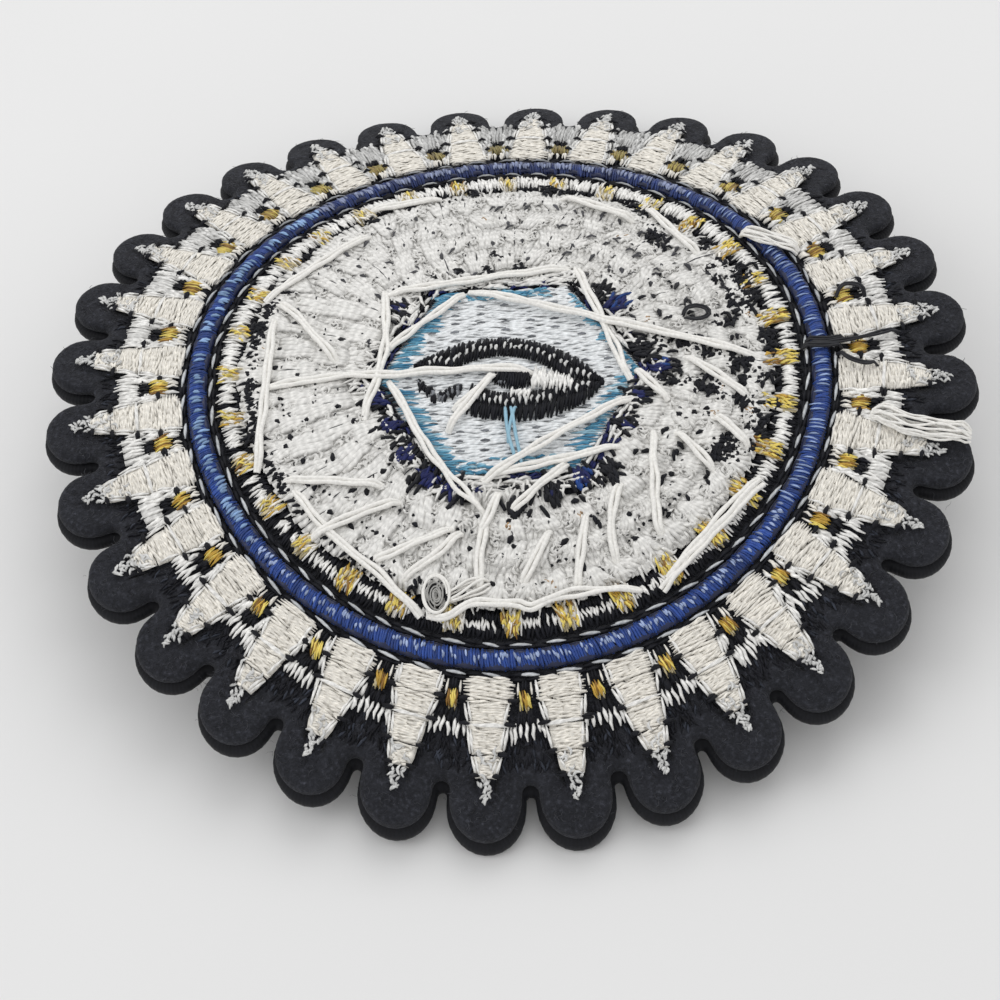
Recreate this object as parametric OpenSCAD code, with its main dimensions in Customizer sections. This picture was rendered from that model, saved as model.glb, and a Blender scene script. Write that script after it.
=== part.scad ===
// Round embroidered patch with a scalloped edge, lying reverse side up.
// The cloth is arched: X runs along the crest, Y across it, and Z is up. The near and far scallops
// rest on the surface, and the origin lies there, under the middle of the patch.
// Every piece is its plan outline, cut out of a curved sheet that follows the arch.

/* [Scalloped outline] */
// Radius from the middle out to the tips of the scallops
tip_r = 50; // [47:0.5:56]
// Depth of the notches between the scallops
notch_depth = 5.2; // [4.4:0.1:6]
// Width of one scallop
lobe_w = 8.0; // [7:0.1:8.3]
// Number of scallops, each with one petal
ray_count = 32; // [28:2:34]

/* [Cloth] */
// Radius of the arch, at the face side of the ground cloth
arch_r = 113; // [100:1:200]
// Thickness of the ground cloth
ground_t = 1.6; // [1.2:0.1:2.4]
// Thickness of the satin edge under the cloth
border_t = 1.4; // [1:0.1:2]
// Width of the satin edge
border_w = 1.9; // [1.4:0.1:2.2]
// How far the satin edge stands out past the ground cloth
border_proud = 0.4; // [0.2:0.1:0.8]

/* [Petals] */
// Bare cloth between a petal's end and the tip of its scallop
petal_margin = 3.3; // [2.6:0.1:5]
// Space between two petals where they are widest
petal_gap = 2.4; // [1.8:0.1:3]
// Thickness of a petal's stitching
petal_t = 0.8; // [0.5:0.1:1.2]

/* [Blue ring] */
// Radius of the middle of the blue ring
ring_r = 33.3; // [31:0.1:35]
// Width of the blue ring
ring_w = 2.1; // [1.6:0.1:2.8]
// Height of the blue ring
ring_t = 1.0; // [0.7:0.1:1.4]
// Width of the dark line on each side of the blue ring
outline_w = 0.8; // [0.5:0.1:1.2]
// Height of those dark lines
outline_t = 0.5; // [0.3:0.1:0.7]

/* [Gold stitching] */
// Width of a gold tuft between two petals
tuft_w = 0.9; // [0.6:0.1:1.3]
// Length of a gold tuft
tuft_l = 1.9; // [1.4:0.1:2.4]
// Height of a gold tuft
tuft_t = 0.6; // [0.3:0.1:0.8]
// How far round the band each gold patch sits from the tuft beyond it, in degrees
patch_turn = -2; // [-4:0.5:4]
// Width of a gold patch
patch_w = 1.9; // [1.2:0.1:2.4]
// Height of a gold patch above the band
patch_t = 0.35; // [0.2:0.05:0.6]

/* [Inner band and field] */
// Width of the dark band inside the ring
band_w = 3.2; // [2.4:0.1:4]
// Height of the dark band
band_t = 0.5; // [0.3:0.1:0.8]
// Height of the pale stitched field
field_t = 0.8; // [0.5:0.1:1.2]

/* [Middle motif] */
// Radius from the middle of the hexagon out to its corners
hex_r = 16.5; // [14.5:0.5:19]
// Width of the hexagon's border
hex_w = 2.1; // [1.5:0.1:2.6]
// Height of the hexagon's border
hex_t = 0.9; // [0.6:0.1:1.2]
// Height of the panel inside the hexagon
panel_t = 0.7; // [0.4:0.1:1]
// How far the motif sits from the middle of the ring
motif_shift = 1.2; // [0:0.1:2]
// Length of the almond eye
eye_l = 20.4; // [17:0.2:22]
// Height of the almond eye
eye_h = 9.4; // [8:0.2:10.4]
// How far the eye is turned in the hexagon, in degrees
eye_turn = -9.5; // [-12:0.5:0]
// Width of the dark band round the eye
eye_band = 1.8; // [1.2:0.1:2.2]
// Height of the eye's stitching above the panel
eye_t = 0.45; // [0.3:0.05:0.7]
// Diameter of the pupil
pupil_d = 3.8; // [3:0.1:4.4]

/* [Face side] */
// Thickness of the stitching on the hidden face
face_t = 0.7; // [0.4:0.1:0.9]

/* [Fits] */
// Space left between stitched pieces that lie side by side
side_gap = 0.12; // [0.08:0.01:0.2]
// Space left between a stitched piece and what it lies on
seat_gap = 0.05; // [0.03:0.01:0.08]

/* [Hidden] */
PETALS = [for (i = [1 : ray_count]) str("petal_", i < 10 ? "0" : "", i)];

// Circles are drawn with this many sides
$fn = 96;
// Angle from one scallop to the next
pitch = 360 / ray_count;
// Angle of the first scallop, half a step from the Y axis
first = 90 + pitch / 2;
// How far the outline reaches along Y
reach_y = (tip_r - lobe_w / 2) * cos(pitch / 2) + lobe_w / 2;
// Height of the arch's axis above the origin is less than zero: this is its depth
axis_z = -sqrt(pow(arch_r - border_t, 2) - pow(reach_y, 2));
// Length of the curved sheets that the pieces are cut from
sheet_l = 3 * tip_r;

// Radii of the rings of stitching, from the blue ring outwards and inwards
ring_out = ring_r + ring_w / 2;
ring_in = ring_r - ring_w / 2;
petal_root_r = ring_out + outline_w + 2 * side_gap;
petal_tip_r = tip_r - petal_margin;
petal_l = petal_tip_r - petal_root_r;
band_out = ring_in - outline_w - 2 * side_gap;
field_r = band_out - band_w - side_gap;

// Levels of the stitching above the face side of the ground cloth
cloth_top = ground_t + seat_gap;
band_top = cloth_top + band_t + seat_gap;
panel_top = cloth_top + panel_t + seat_gap;
face_low = -seat_gap - face_t;

// Sections of a petal: where each block of stitches starts along the petal, and the half widths
// at its two ends, as shares of the petal's length and of its half width
along = 0;
wide_start = 1;
wide_end = 2;
PETAL_BLOCKS = [
    [0.00, 0.92, 0.94],
    [0.17, 1.00, 0.80],
    [0.38, 0.86, 0.70],
    [0.62, 0.64, 0.42],
    [0.81, 0.30, 0.10],
];
// Where the petals are widest, and half their width there
petal_wide_r = petal_root_r + PETAL_BLOCKS[1][along] * petal_l;
petal_half_w = petal_wide_r * tan(pitch / 2) - petal_gap / 2;

// Cuts a plan outline out of a sheet that follows the arch, between two levels
module arched(low, high) {
    translate([0, 0, axis_z])
    intersection() {
        rotate([0, 90, 0])
        difference() {
            cylinder(r = arch_r + high, h = sheet_l, center = true, $fn = 360);
            cylinder(r = arch_r + low, h = sheet_l + 2, center = true, $fn = 360);
        }
        linear_extrude(arch_r + high + 1) children();
    }
}

// Plan outline of a disc with round-ended scallops and round-bottomed notches
module scalloped(inset) {
    tip = tip_r - inset;
    width = lobe_w - 2 * inset;
    notch = tip_r - notch_depth - inset;
    half_angle = pitch / 2;
    // The notch's circle touches the sides of both scallops beside it
    notch_rad = (notch * sin(half_angle) - width / 2) / (1 - sin(half_angle));
    notch_mid = notch + notch_rad;
    difference() {
        union() {
            circle(r = notch_mid);
            for (i = [0 : ray_count - 1]) rotate(first + i * pitch) {
                translate([tip - width / 2, 0]) circle(d = width);
                translate([0, -width / 2]) square([tip - width / 2, width]);
            }
        }
        for (i = [0 : ray_count - 1]) rotate(first + (i + 0.5) * pitch)
            translate([notch_mid, 0]) circle(r = notch_rad);
    }
}

// Plan outline of a flat ring
module flat_ring(r_out, r_in) {
    difference() {
        circle(r = r_out);
        circle(r = r_in);
    }
}

// Plan outline of one petal along X: blocks of stitches that step in towards its tip
function block_end(i) = i + 1 < len(PETAL_BLOCKS) ? PETAL_BLOCKS[i + 1][along] : 1;
function petal_edge(side) = [
    for (i = [0 : len(PETAL_BLOCKS) - 1], end = [0, 1]) [
        petal_root_r + (end == 0 ? PETAL_BLOCKS[i][along] : block_end(i)) * petal_l,
        side * petal_half_w * PETAL_BLOCKS[i][end == 0 ? wide_start : wide_end]
    ]
];
module petal_outline() {
    near_edge = petal_edge(-1);
    far_edge = petal_edge(1);
    last = len(far_edge) - 1;
    polygon(concat(near_edge, [for (i = [last : -1 : 0]) far_edge[i]]));
}

// Plan outline of a hexagon about the middle motif
module hexagon(r) {
    translate([0, -motif_shift]) circle(r = r, $fn = 6);
}

// Plan outline of an almond about the middle motif, between two arcs
module almond(l, h) {
    arc_r = (l * l / 4 + h * h / 4) / h;
    translate([0, -motif_shift]) rotate(eye_turn)
    intersection() {
        translate([0, h / 2 - arc_r]) circle(r = arc_r);
        translate([0, arc_r - h / 2]) circle(r = arc_r);
    }
}

// Inner radius of the hexagon's border, measured at its corners
hex_in = hex_r - hex_w / cos(30);
// Length and height of the almond inside the eye's dark band
eye_in_h = eye_h - 2 * eye_band;
eye_in_l = eye_l - 2 * eye_band * eye_l / eye_h;

// Black ground cloth, cut to the scallops
module ground_cloth() {
    color("#1c1d22") arched(0, ground_t) scalloped(border_proud);
}

// Black satin edge on the face side, which the patch rests on
module edge_border() {
    color("#0e0f14") arched(-border_t, -seat_gap)
    difference() {
        scalloped(0);
        scalloped(border_w);
    }
}

// White petal, one for each scallop
module petal(i) {
    color("#e9e6df") arched(cloth_top, cloth_top + petal_t)
    rotate(first + (i - 1) * pitch) petal_outline();
}

// Raised blue satin ring
module blue_ring() {
    color("#2a479c") arched(cloth_top, cloth_top + ring_t) flat_ring(ring_out, ring_in);
}

// Dark line between the blue ring and the petals
module ring_outline_outer() {
    color("#16171f") arched(cloth_top, cloth_top + outline_t)
    flat_ring(ring_out + side_gap + outline_w, ring_out + side_gap);
}

// Dark line inside the blue ring
module ring_outline_inner() {
    color("#16171f") arched(cloth_top, cloth_top + outline_t)
    flat_ring(ring_in - side_gap, ring_in - side_gap - outline_w);
}

// Dark band that carries the gold patches
module inner_band() {
    color("#14151b") arched(cloth_top, cloth_top + band_t) flat_ring(band_out, band_out - band_w);
}

// Gold patches spaced round the inner band, one for each tuft
module gold_patches() {
    color("#d8b43a") arched(band_top, band_top + patch_t)
    for (i = [0 : ray_count - 1]) rotate(first + (i + 0.5) * pitch + patch_turn)
        translate([band_out - band_w, -patch_w / 2]) square([band_w - side_gap, patch_w]);
}

// Gold tufts between the roots of the petals
module gold_tufts() {
    color("#d8b43a") arched(cloth_top, cloth_top + tuft_t)
    for (i = [0 : ray_count - 1]) rotate(first + (i + 0.5) * pitch)
        translate([petal_wide_r - tuft_l / 2, -tuft_w / 2]) square([tuft_l, tuft_w]);
}

// Pale field of dense stitching round the middle motif
module stitched_field() {
    color("#e4e1db") arched(cloth_top, cloth_top + field_t)
    difference() {
        circle(r = field_r);
        hexagon(hex_r + side_gap);
    }
}

// Navy border of the hexagon
module hexagon_border() {
    color("#1d2a5c") arched(cloth_top, cloth_top + hex_t)
    difference() {
        hexagon(hex_r);
        hexagon(hex_in);
    }
}

// White and pale blue panel inside the hexagon
module hexagon_panel() {
    color("#dfe7ec") arched(cloth_top, cloth_top + panel_t) hexagon(hex_in - side_gap);
}

// Dark almond band of the eye
module eye_outline() {
    color("#101116") arched(panel_top, panel_top + eye_t)
    difference() {
        almond(eye_l, eye_h);
        almond(eye_in_l, eye_in_h);
    }
}

// Dark round pupil
module pupil() {
    color("#101116") arched(panel_top, panel_top + eye_t)
    translate([0, -motif_shift]) circle(d = pupil_d);
}

// The same petals on the hidden face, kept inside the satin edge
module face_petals() {
    color("#e9e6df") arched(face_low, -seat_gap)
    intersection() {
        for (i = [0 : ray_count - 1]) rotate(first + i * pitch) petal_outline();
        scalloped(border_w + side_gap);
    }
}

// The same ring on the hidden face
module face_ring() {
    color("#2a479c") arched(face_low, -seat_gap) flat_ring(ring_out, ring_in);
}

// The pale field on the hidden face, filled out to the ring
module face_field() {
    color("#e4e1db") arched(face_low, -seat_gap)
    difference() {
        circle(r = ring_in - side_gap);
        hexagon(hex_r + side_gap);
    }
}

// The hexagon's border on the hidden face
module face_hexagon() {
    color("#1d2a5c") arched(face_low, -seat_gap)
    difference() {
        hexagon(hex_r);
        hexagon(hex_in);
    }
}

// The eye on the hidden face
module face_eye() {
    color("#101116") arched(face_low, -seat_gap)
    difference() {
        almond(eye_l, eye_h);
        almond(eye_in_l, eye_in_h);
    }
}

ground_cloth();
edge_border();
for (i = [1 : ray_count]) {
    petal(i);
}
ring_outline_outer();
blue_ring();
ring_outline_inner();
inner_band();
gold_patches();
gold_tufts();
stitched_field();
hexagon_border();
hexagon_panel();
eye_outline();
pupil();
face_petals();
face_ring();
face_field();
face_hexagon();
face_eye();
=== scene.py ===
# Round embroidered patch with a scalloped edge, arched and lying reverse side up.
import math
import random

import bmesh
import bpy
from mathutils import Matrix, Vector, noise


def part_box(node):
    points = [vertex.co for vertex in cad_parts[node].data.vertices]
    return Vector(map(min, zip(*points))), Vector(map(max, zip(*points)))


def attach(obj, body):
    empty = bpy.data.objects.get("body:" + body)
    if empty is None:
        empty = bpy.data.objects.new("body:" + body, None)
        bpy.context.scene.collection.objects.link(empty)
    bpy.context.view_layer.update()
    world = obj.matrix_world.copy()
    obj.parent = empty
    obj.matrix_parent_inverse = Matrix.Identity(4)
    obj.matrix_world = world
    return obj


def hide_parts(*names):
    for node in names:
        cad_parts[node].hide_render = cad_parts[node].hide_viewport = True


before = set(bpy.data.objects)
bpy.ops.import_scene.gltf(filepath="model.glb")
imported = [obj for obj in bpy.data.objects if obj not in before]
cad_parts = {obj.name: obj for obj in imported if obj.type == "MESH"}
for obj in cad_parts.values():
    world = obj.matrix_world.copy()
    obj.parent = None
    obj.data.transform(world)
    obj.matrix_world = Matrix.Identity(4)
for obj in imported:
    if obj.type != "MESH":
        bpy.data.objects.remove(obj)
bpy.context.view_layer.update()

# The arch. The patch is cut flat and arched along Y, so each piece is drawn on a flat plan in
# millimetres, as an embroidery chart is, and lay() puts it on the curve, in metres.
mm = 0.001
arch_r = 113.0
ground_t = 1.6
axis_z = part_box("ground_cloth")[1].z / mm - ground_t - arch_r


def lay(x, y, level):
    """A plan point, level mm above the cloth's face side, as a place on the arched patch."""
    return Vector((x, y, axis_z + math.sqrt((arch_r + level) ** 2 - y * y))) * mm


def reach(node):
    """How far a node reaches from the middle along X, in plan millimetres."""
    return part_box(node)[1].x / mm


# The camera looks down on the near side of the patch, a little turned and rolled, from a
# hand's length away. Its aim is off the patch's middle by the two shifts.
camera_rise = math.radians(55.42)
camera_turn = math.radians(1.72)
camera_roll = math.radians(-4.73)
camera_away = 242.7 * mm
aim_right = -0.92 * mm
aim_up = -12.95 * mm
camera_lens = 81.4
crest = Vector((0, 0, (axis_z + arch_r) * mm))

back = Vector((
    math.sin(camera_turn) * math.cos(camera_rise),
    -math.cos(camera_turn) * math.cos(camera_rise),
    math.sin(camera_rise),
))
level_right = Vector((0, 0, 1)).cross(back).normalized()
level_up = back.cross(level_right)
right = level_right * math.cos(camera_roll) + level_up * math.sin(camera_roll)
up = level_up * math.cos(camera_roll) - level_right * math.sin(camera_roll)
camera = bpy.data.objects.new("camera", bpy.data.cameras.new("camera"))
camera.data.lens = camera_lens
camera.data.clip_start = 0.01
camera.location = crest + back * camera_away + right * aim_right + up * aim_up
camera.rotation_mode = "QUATERNION"
camera.rotation_quaternion = Matrix((right, up, back)).transposed().to_quaternion()
bpy.context.scene.collection.objects.link(camera)
bpy.context.scene.camera = camera


# The floor is a plain off-white sheet. It isn't part of the object.
class Wire:
    """A node's socket, which sums and products can be written with."""

    def __init__(self, tree, socket=None):
        self.tree = tree
        self.socket = socket

    def node(self, kind, settings, values, output=0):
        """Adds a node: first its settings, then the values or links of its sockets."""
        made = self.tree.nodes.new(kind)
        for name, value in settings.items():
            setattr(made, name, value)
        for slot, value in values.items():
            if isinstance(value, Wire):
                self.tree.links.new(value.socket, made.inputs[slot])
            else:
                made.inputs[slot].default_value = value
        return Wire(self.tree, made.outputs[output] if made.outputs else None)

    def __getitem__(self, output):
        return Wire(self.tree, self.socket.node.outputs[output])

    def maths(self, operation, *values):
        return self.node("ShaderNodeMath", {"operation": operation}, dict(enumerate(values)))

    def __add__(self, other):
        return self.maths("ADD", self, other)

    def __mul__(self, other):
        return self.maths("MULTIPLY", self, other)

    def __sub__(self, other):
        return self.maths("SUBTRACT", self, other)

    def __rsub__(self, other):
        return self.maths("SUBTRACT", other, self)

    def __pow__(self, other):
        return self.maths("POWER", self, other)

    __radd__ = __add__
    __rmul__ = __mul__


def new_finish(name):
    """A new material and the wire that its nodes are added through."""
    made = bpy.data.materials.new(name)
    made.use_nodes = True
    made.node_tree.nodes.clear()
    return made, Wire(made.node_tree)


def scatter(wire, scale, detail=2.0):
    """Even speckle over the object, between 0 and 1."""
    place = wire.node("ShaderNodeTexCoord", {}, {}, "Object")
    return wire.node("ShaderNodeTexNoise", {}, {"Vector": place, "Scale": scale, "Detail": detail}, "Fac")


def shade(wire, colour, amount, rough, shine, sheen=0.0, sheen_rough=0.5, bump=None):
    """The finish's shader: a colour made lighter or darker by an amount that varies, its gloss and
    sheen, and a bump given as its strength, how many mm deep it is and its height."""
    sockets = {
        "Base Color": wire.node("ShaderNodeVectorMath", {"operation": "SCALE"}, {0: colour, "Scale": amount}),
        "Roughness": rough,
        "Specular IOR Level": shine,
        "Sheen Weight": sheen,
        "Sheen Roughness": sheen_rough,
    }
    if bump:
        strength, deep, height = bump
        sockets["Normal"] = wire.node("ShaderNodeBump", {}, {
            "Strength": strength,
            "Distance": deep * mm,
            "Height": height,
        })
    surface = wire.node("ShaderNodeBsdfPrincipled", {}, sockets)
    wire.node("ShaderNodeOutputMaterial", {}, {"Surface": surface})


floor_size = 3.0
off_white = (0.77, 0.77, 0.77)
bm = bmesh.new()
bmesh.ops.create_grid(bm, x_segments=2, y_segments=2, size=floor_size / 2)
floor = bpy.data.objects.new("floor", bpy.data.meshes.new("floor"))
bm.to_mesh(floor.data)
bm.free()
bpy.context.scene.collection.objects.link(floor)
paper, wire = new_finish("off_white_sheet")
shade(wire, off_white, scatter(wire, 14.0) * 0.05 + 0.975, rough=0.7, shine=0.2)
floor.data.materials.append(paper)

# Soft studio light: a pale room, a broad light above the far side, and a weaker one at the left.
room = bpy.data.worlds.new("room")
room.use_nodes = True
room.node_tree.nodes["Background"].inputs["Color"].default_value = (1, 1, 1, 1)
room.node_tree.nodes["Background"].inputs["Strength"].default_value = 0.78
bpy.context.scene.world = room
bpy.context.scene.view_settings.view_transform = "Standard"
LIGHTS = {
    "far_light": {"place": (0.10, 0.42, 0.55), "size": 0.45, "power": 1.2},
    "left_light": {"place": (-0.45, -0.05, 0.40), "size": 0.35, "power": 0.55},
}
for name, light in LIGHTS.items():
    lamp = bpy.data.objects.new(name, bpy.data.lights.new(name, "AREA"))
    lamp.data.size = light["size"]
    lamp.data.energy = light["power"]
    lamp.location = light["place"]
    lamp.rotation_mode = "QUATERNION"
    lamp.rotation_quaternion = (crest - lamp.location).to_track_quat("-Z", "Y")
    bpy.context.scene.collection.objects.link(lamp)

# Ground cloth: charcoal brushed felt, 1.6 mm thick, cut to 32 scallops with rounded edges. It is
# lofted through outlines of the same scallops, each a little further in, and closed at the middle.
ray_count = 32
pitch = 360 / ray_count
first = 90 + pitch / 2
rays = [first + i * pitch for i in range(ray_count)]
valleys = [first + (i + 0.5) * pitch for i in range(ray_count)]
tip_r = 50.0
notch_depth = 5.2
lobe_w = 8.0
lobe_mid = tip_r - lobe_w / 2
border_proud = 0.4
edge_round = 0.6
tip_steps = 14
notch_steps = 8
rim_steps = 6
felt_insets = [1.7, 2.4, 3.1]
felt_circles = [39.0, 33.0, 26.5, 20.0, 13.5, 7.0, 0.6]
felt_bumps = 0.05
charcoal = (0.0185, 0.0195, 0.0245)


def polar(angle, r, across=0.0):
    """A plan point r mm out along a ray, and so far across it."""
    turn = math.radians(angle)
    return (r * math.cos(turn) - across * math.sin(turn),
            r * math.sin(turn) + across * math.cos(turn))


def scallops(inset):
    """Plan points of the scalloped edge, so far inside the cut line, counter-clockwise."""
    half = math.radians(pitch / 2)
    notch = tip_r - notch_depth
    notch_round = (notch * math.sin(half) - lobe_w / 2) / (1 - math.sin(half))
    notch_mid = notch + notch_round
    swing = 90 - pitch / 2
    points = []
    for ray in rays:
        mid_x, mid_y = polar(ray, lobe_mid)
        for k in range(tip_steps + 1):
            out_x, out_y = polar(ray - 90 + 180 * k / tip_steps, lobe_w / 2 - inset)
            points.append((mid_x + out_x, mid_y + out_y))
        ray += pitch / 2
        mid_x, mid_y = polar(ray, notch_mid)
        for k in range(notch_steps + 1):
            turn = ray + 180 + swing - 2 * swing * k / notch_steps
            out_x, out_y = polar(turn, notch_round + inset)
            points.append((mid_x + out_x, mid_y + out_y))
    return points


def circle_like(points, r):
    """A circle with as many points as an outline, each at the same turn."""
    return [(x * r / math.hypot(x, y), y * r / math.hypot(x, y)) for x, y in points]


def add_loop(bm, points, level, rough=0.0):
    """Lays a closed outline on the arch and returns its edges."""
    verts = []
    for x, y in points:
        rise = rough * noise.noise(Vector((x, y, level)) * 0.9)
        verts.append(bm.verts.new(lay(x, y, level + rise)))
    return [bm.edges.new((verts[k - 1], verts[k])) for k in range(len(verts))]


def loft(bm, loops, closed=False):
    """Bridges each outline to the next."""
    pairs = list(zip(loops, loops[1:]))
    if closed:
        pairs.append((loops[-1], loops[0]))
    for one, other in pairs:
        bmesh.ops.bridge_loops(bm, edges=one + other)


def add_piece(name, mesh, slot, *nodes):
    """Makes a mesh an object of the patch that stands for the nodes."""
    mesh.name = name
    piece = bpy.data.objects.new(name, mesh)
    bpy.context.scene.collection.objects.link(piece)
    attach(piece, "root")
    if nodes:
        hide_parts(*nodes)
    return piece


def smooth_mesh(bm, name, finish):
    """Turns a bmesh into a smooth mesh whose faces point outwards."""
    for face in bm.faces:
        face.smooth = True
    bmesh.ops.recalc_face_normals(bm, faces=bm.faces)
    mesh = bpy.data.meshes.new(name)
    bm.to_mesh(mesh)
    bm.free()
    mesh.materials.append(finish)
    return mesh


bm = bmesh.new()
top_loops = []
rim_loops = []
low_loops = []
edge_line = scallops(border_proud + edge_round)
inner_lines = [circle_like(edge_line, r) for r in reversed(felt_circles)]
inner_lines += [scallops(inset) for inset in reversed(felt_insets)]
for line in inner_lines:
    top_loops.append(add_loop(bm, line, ground_t, felt_bumps))
    low_loops.insert(0, add_loop(bm, line, 0))
for k in range(rim_steps + 1):
    turn = math.pi / 2 - math.pi * k / rim_steps
    inset = border_proud + edge_round * (1 - math.cos(turn))
    rim_loops.append(add_loop(bm, scallops(inset), ground_t / 2 * (1 + math.sin(turn)), felt_bumps))
loft(bm, top_loops + rim_loops + low_loops)
for loop in (top_loops[0], low_loops[-1]):
    bmesh.ops.contextual_create(bm, geom=loop)

felt, wire = new_finish("charcoal_felt")
fibres = scatter(wire, 5200.0, 4.0)
clumps = scatter(wire, 620.0, 3.0)
# Pale fibre crossings are the few peaks of a fine speckle
crossings = (scatter(wire, 2400.0, 5.0) * 1.7) ** 6
shade(wire, charcoal, fibres * 0.9 + clumps * 0.9 + crossings * 0.55,
      rough=0.9, shine=0.2, sheen=0.05, bump=(1.0, 0.22, fibres + clumps))
felt_mesh = smooth_mesh(bm, "felt_ground", felt)
ground_cloth = add_piece("felt_ground", felt_mesh, "black_cloth", "ground_cloth")

# Satin edge: a band of black thread sewn over the scalloped edge from the face side. It is a
# padded roll, a little prouder than the felt, and the patch rests on it.
border_t = 1.4
border_w = 1.9
seat_gap = 0.05
band_steps = 12
corner_power = 0.6
row_pitch = 0.42
satin_black = (0.0060, 0.0064, 0.0090)

bm = bmesh.new()
band_loops = []
for k in range(band_steps):
    turn = 2 * math.pi * k / band_steps
    # A rounded box section: sines and cosines drawn out towards the corners
    across = math.copysign(abs(math.cos(turn)) ** corner_power, math.cos(turn))
    rise = math.copysign(abs(math.sin(turn)) ** corner_power, math.sin(turn))
    inset = border_w / 2 * (1 - across)
    level = -border_t / 2 - seat_gap / 2 + (border_t - seat_gap) / 2 * rise
    band_loops.append(add_loop(bm, scallops(inset), level))
loft(bm, band_loops, closed=True)
outline = scallops(0)
run = [0.0]
for one, other in zip(outline, outline[1:]):
    run.append(run[-1] + math.dist(one, other))
whole_run = run[-1] + math.dist(outline[-1], outline[0])
uv_layer = bm.loops.layers.uv.new("UVMap")
bm.verts.index_update()
for face in bm.faces:
    places = [run[corner.vert.index % len(outline)] for corner in face.loops]
    for corner, place in zip(face.loops, places):
        if max(places) - place > whole_run / 2:
            place += whole_run
        corner[uv_layer].uv = (place / whole_run, corner.vert.index // len(outline) / band_steps)

satin, wire = new_finish("black_satin_edge")
along = wire.node("ShaderNodeSeparateXYZ", {}, {0: wire.node("ShaderNodeUVMap", {"uv_map": "UVMap"}, {})})
drift = scatter(wire, 900.0) * 1.6
rows = wire.maths("SINE", along * (2 * math.pi * round(whole_run / row_pitch)) + drift)
shade(wire, satin_black, rows * 0.12 + scatter(wire, 1500.0) + 0.5,
      rough=0.7, shine=0.25, sheen=0.04, bump=(0.5, 0.10, rows * 0.2 + scatter(wire, 5000.0, 3.0) * 0.6))
add_piece("satin_edge", smooth_mesh(bm, "satin_edge", satin), "black_satin", "edge_border")


# Petals: one for each scallop, in four stepped blocks of cream thread sewn across the ray over a
# few wide padding stitches, with white stitches down the sides and a frayed tip.
class Form:
    """Shapes that one stitch can have, from its first end at x = -0.5 to its last at x = 0.5."""

    def __init__(self, sides, cuts, dip, wave=0.0, bow=0.0, plump=0.35):
        self.sides = sides
        self.cuts = cuts
        self.dip = dip
        self.wave = wave
        self.bow = bow
        self.plump = plump

    def build(self, name):
        bm = bmesh.new()
        bmesh.ops.create_cone(bm, cap_ends=True, cap_tris=True, segments=self.sides,
                              radius1=0.5, radius2=0.5, depth=1)
        lengthwise = [e for e in bm.edges if abs(e.verts[0].co.z - e.verts[1].co.z) > 0.5]
        bmesh.ops.subdivide_edges(bm, edges=lengthwise, cuts=self.cuts)
        bmesh.ops.rotate(bm, verts=bm.verts, matrix=Matrix.Rotation(math.pi / 2, 3, "Y"))
        uv_layer = bm.loops.layers.uv.new("UVMap")
        for face in bm.faces:
            face.smooth = True
            middle = face.calc_center_median()
            turn = math.atan2(middle.z, middle.y) % (2 * math.pi)
            for corner in face.loops:
                place = corner.vert.co
                # The caps take up the ends of the map
                along = 0.5 + 0.88 * place.x
                round_it = turn
                if math.hypot(place.y, place.z) < 0.1:
                    along = 0.5 + math.copysign(0.5, place.x)
                else:
                    gap = math.atan2(place.z, place.y) - turn
                    round_it += (gap + math.pi) % (2 * math.pi) - math.pi
                corner[uv_layer].uv = (along, round_it / (2 * math.pi))
        for vert in bm.verts:
            along = vert.co.x + 0.5
            arc = max(0.0, math.sin(math.pi * along))
            body = self.plump + (1 - self.plump) * arc ** 0.5
            vert.co.y = vert.co.y * body + self.wave * math.sin(2 * math.pi * along) + self.bow * arc
            vert.co.z = vert.co.z * body - self.dip * (1 - arc ** 0.6)
        mesh = bpy.data.meshes.new(name)
        bm.to_mesh(mesh)
        bm.free()
        return bpy.data.objects.new(name, mesh)


FORMS = {
    "satin": Form(sides=4, cuts=2, dip=0.9),
    "satin_left": Form(sides=4, cuts=2, dip=0.9, wave=0.25),
    "satin_right": Form(sides=4, cuts=2, dip=0.9, wave=-0.25),
    "strap": Form(sides=4, cuts=2, dip=0.6, plump=0.8),
    "strap_left": Form(sides=4, cuts=2, dip=0.6, wave=0.2, plump=0.8),
    "strap_right": Form(sides=4, cuts=2, dip=0.6, wave=-0.2, plump=0.8),
    "domed": Form(sides=4, cuts=4, dip=2.4, plump=0.6),
    "tick": Form(sides=4, cuts=1, dip=0.7, plump=0.5),
    "pad": Form(sides=5, cuts=1, dip=0.3, plump=0.8),
    "curl": Form(sides=4, cuts=3, dip=0.5, bow=1.1, plump=0.6),
    "nap": Form(sides=3, cuts=1, dip=0.2, bow=3.0, plump=0.8),
    "hair": Form(sides=3, cuts=3, dip=5.0, wave=3.0, plump=0.6),
}
form_box = bpy.data.collections.new("stitch_forms")
for number, (name, form) in enumerate(FORMS.items()):
    form_box.objects.link(form.build(f"form_{number:02d}_{name}"))
FORM_NUMBERS = {name: number for number, name in enumerate(FORMS)}
SATINS = ["satin", "satin_left", "satin_right"]
STRAPS = ["strap", "strap_left", "strap_right"]
cell_margin = 0.05


def mesh_of(maker):
    """The mesh that an object comes out as once its nodes or its bevel have run."""
    bpy.context.scene.collection.objects.link(maker)
    seen = maker.evaluated_get(bpy.context.evaluated_depsgraph_get())
    mesh = bpy.data.meshes.new_from_object(seen)
    bpy.data.objects.remove(maker)
    return mesh


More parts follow.
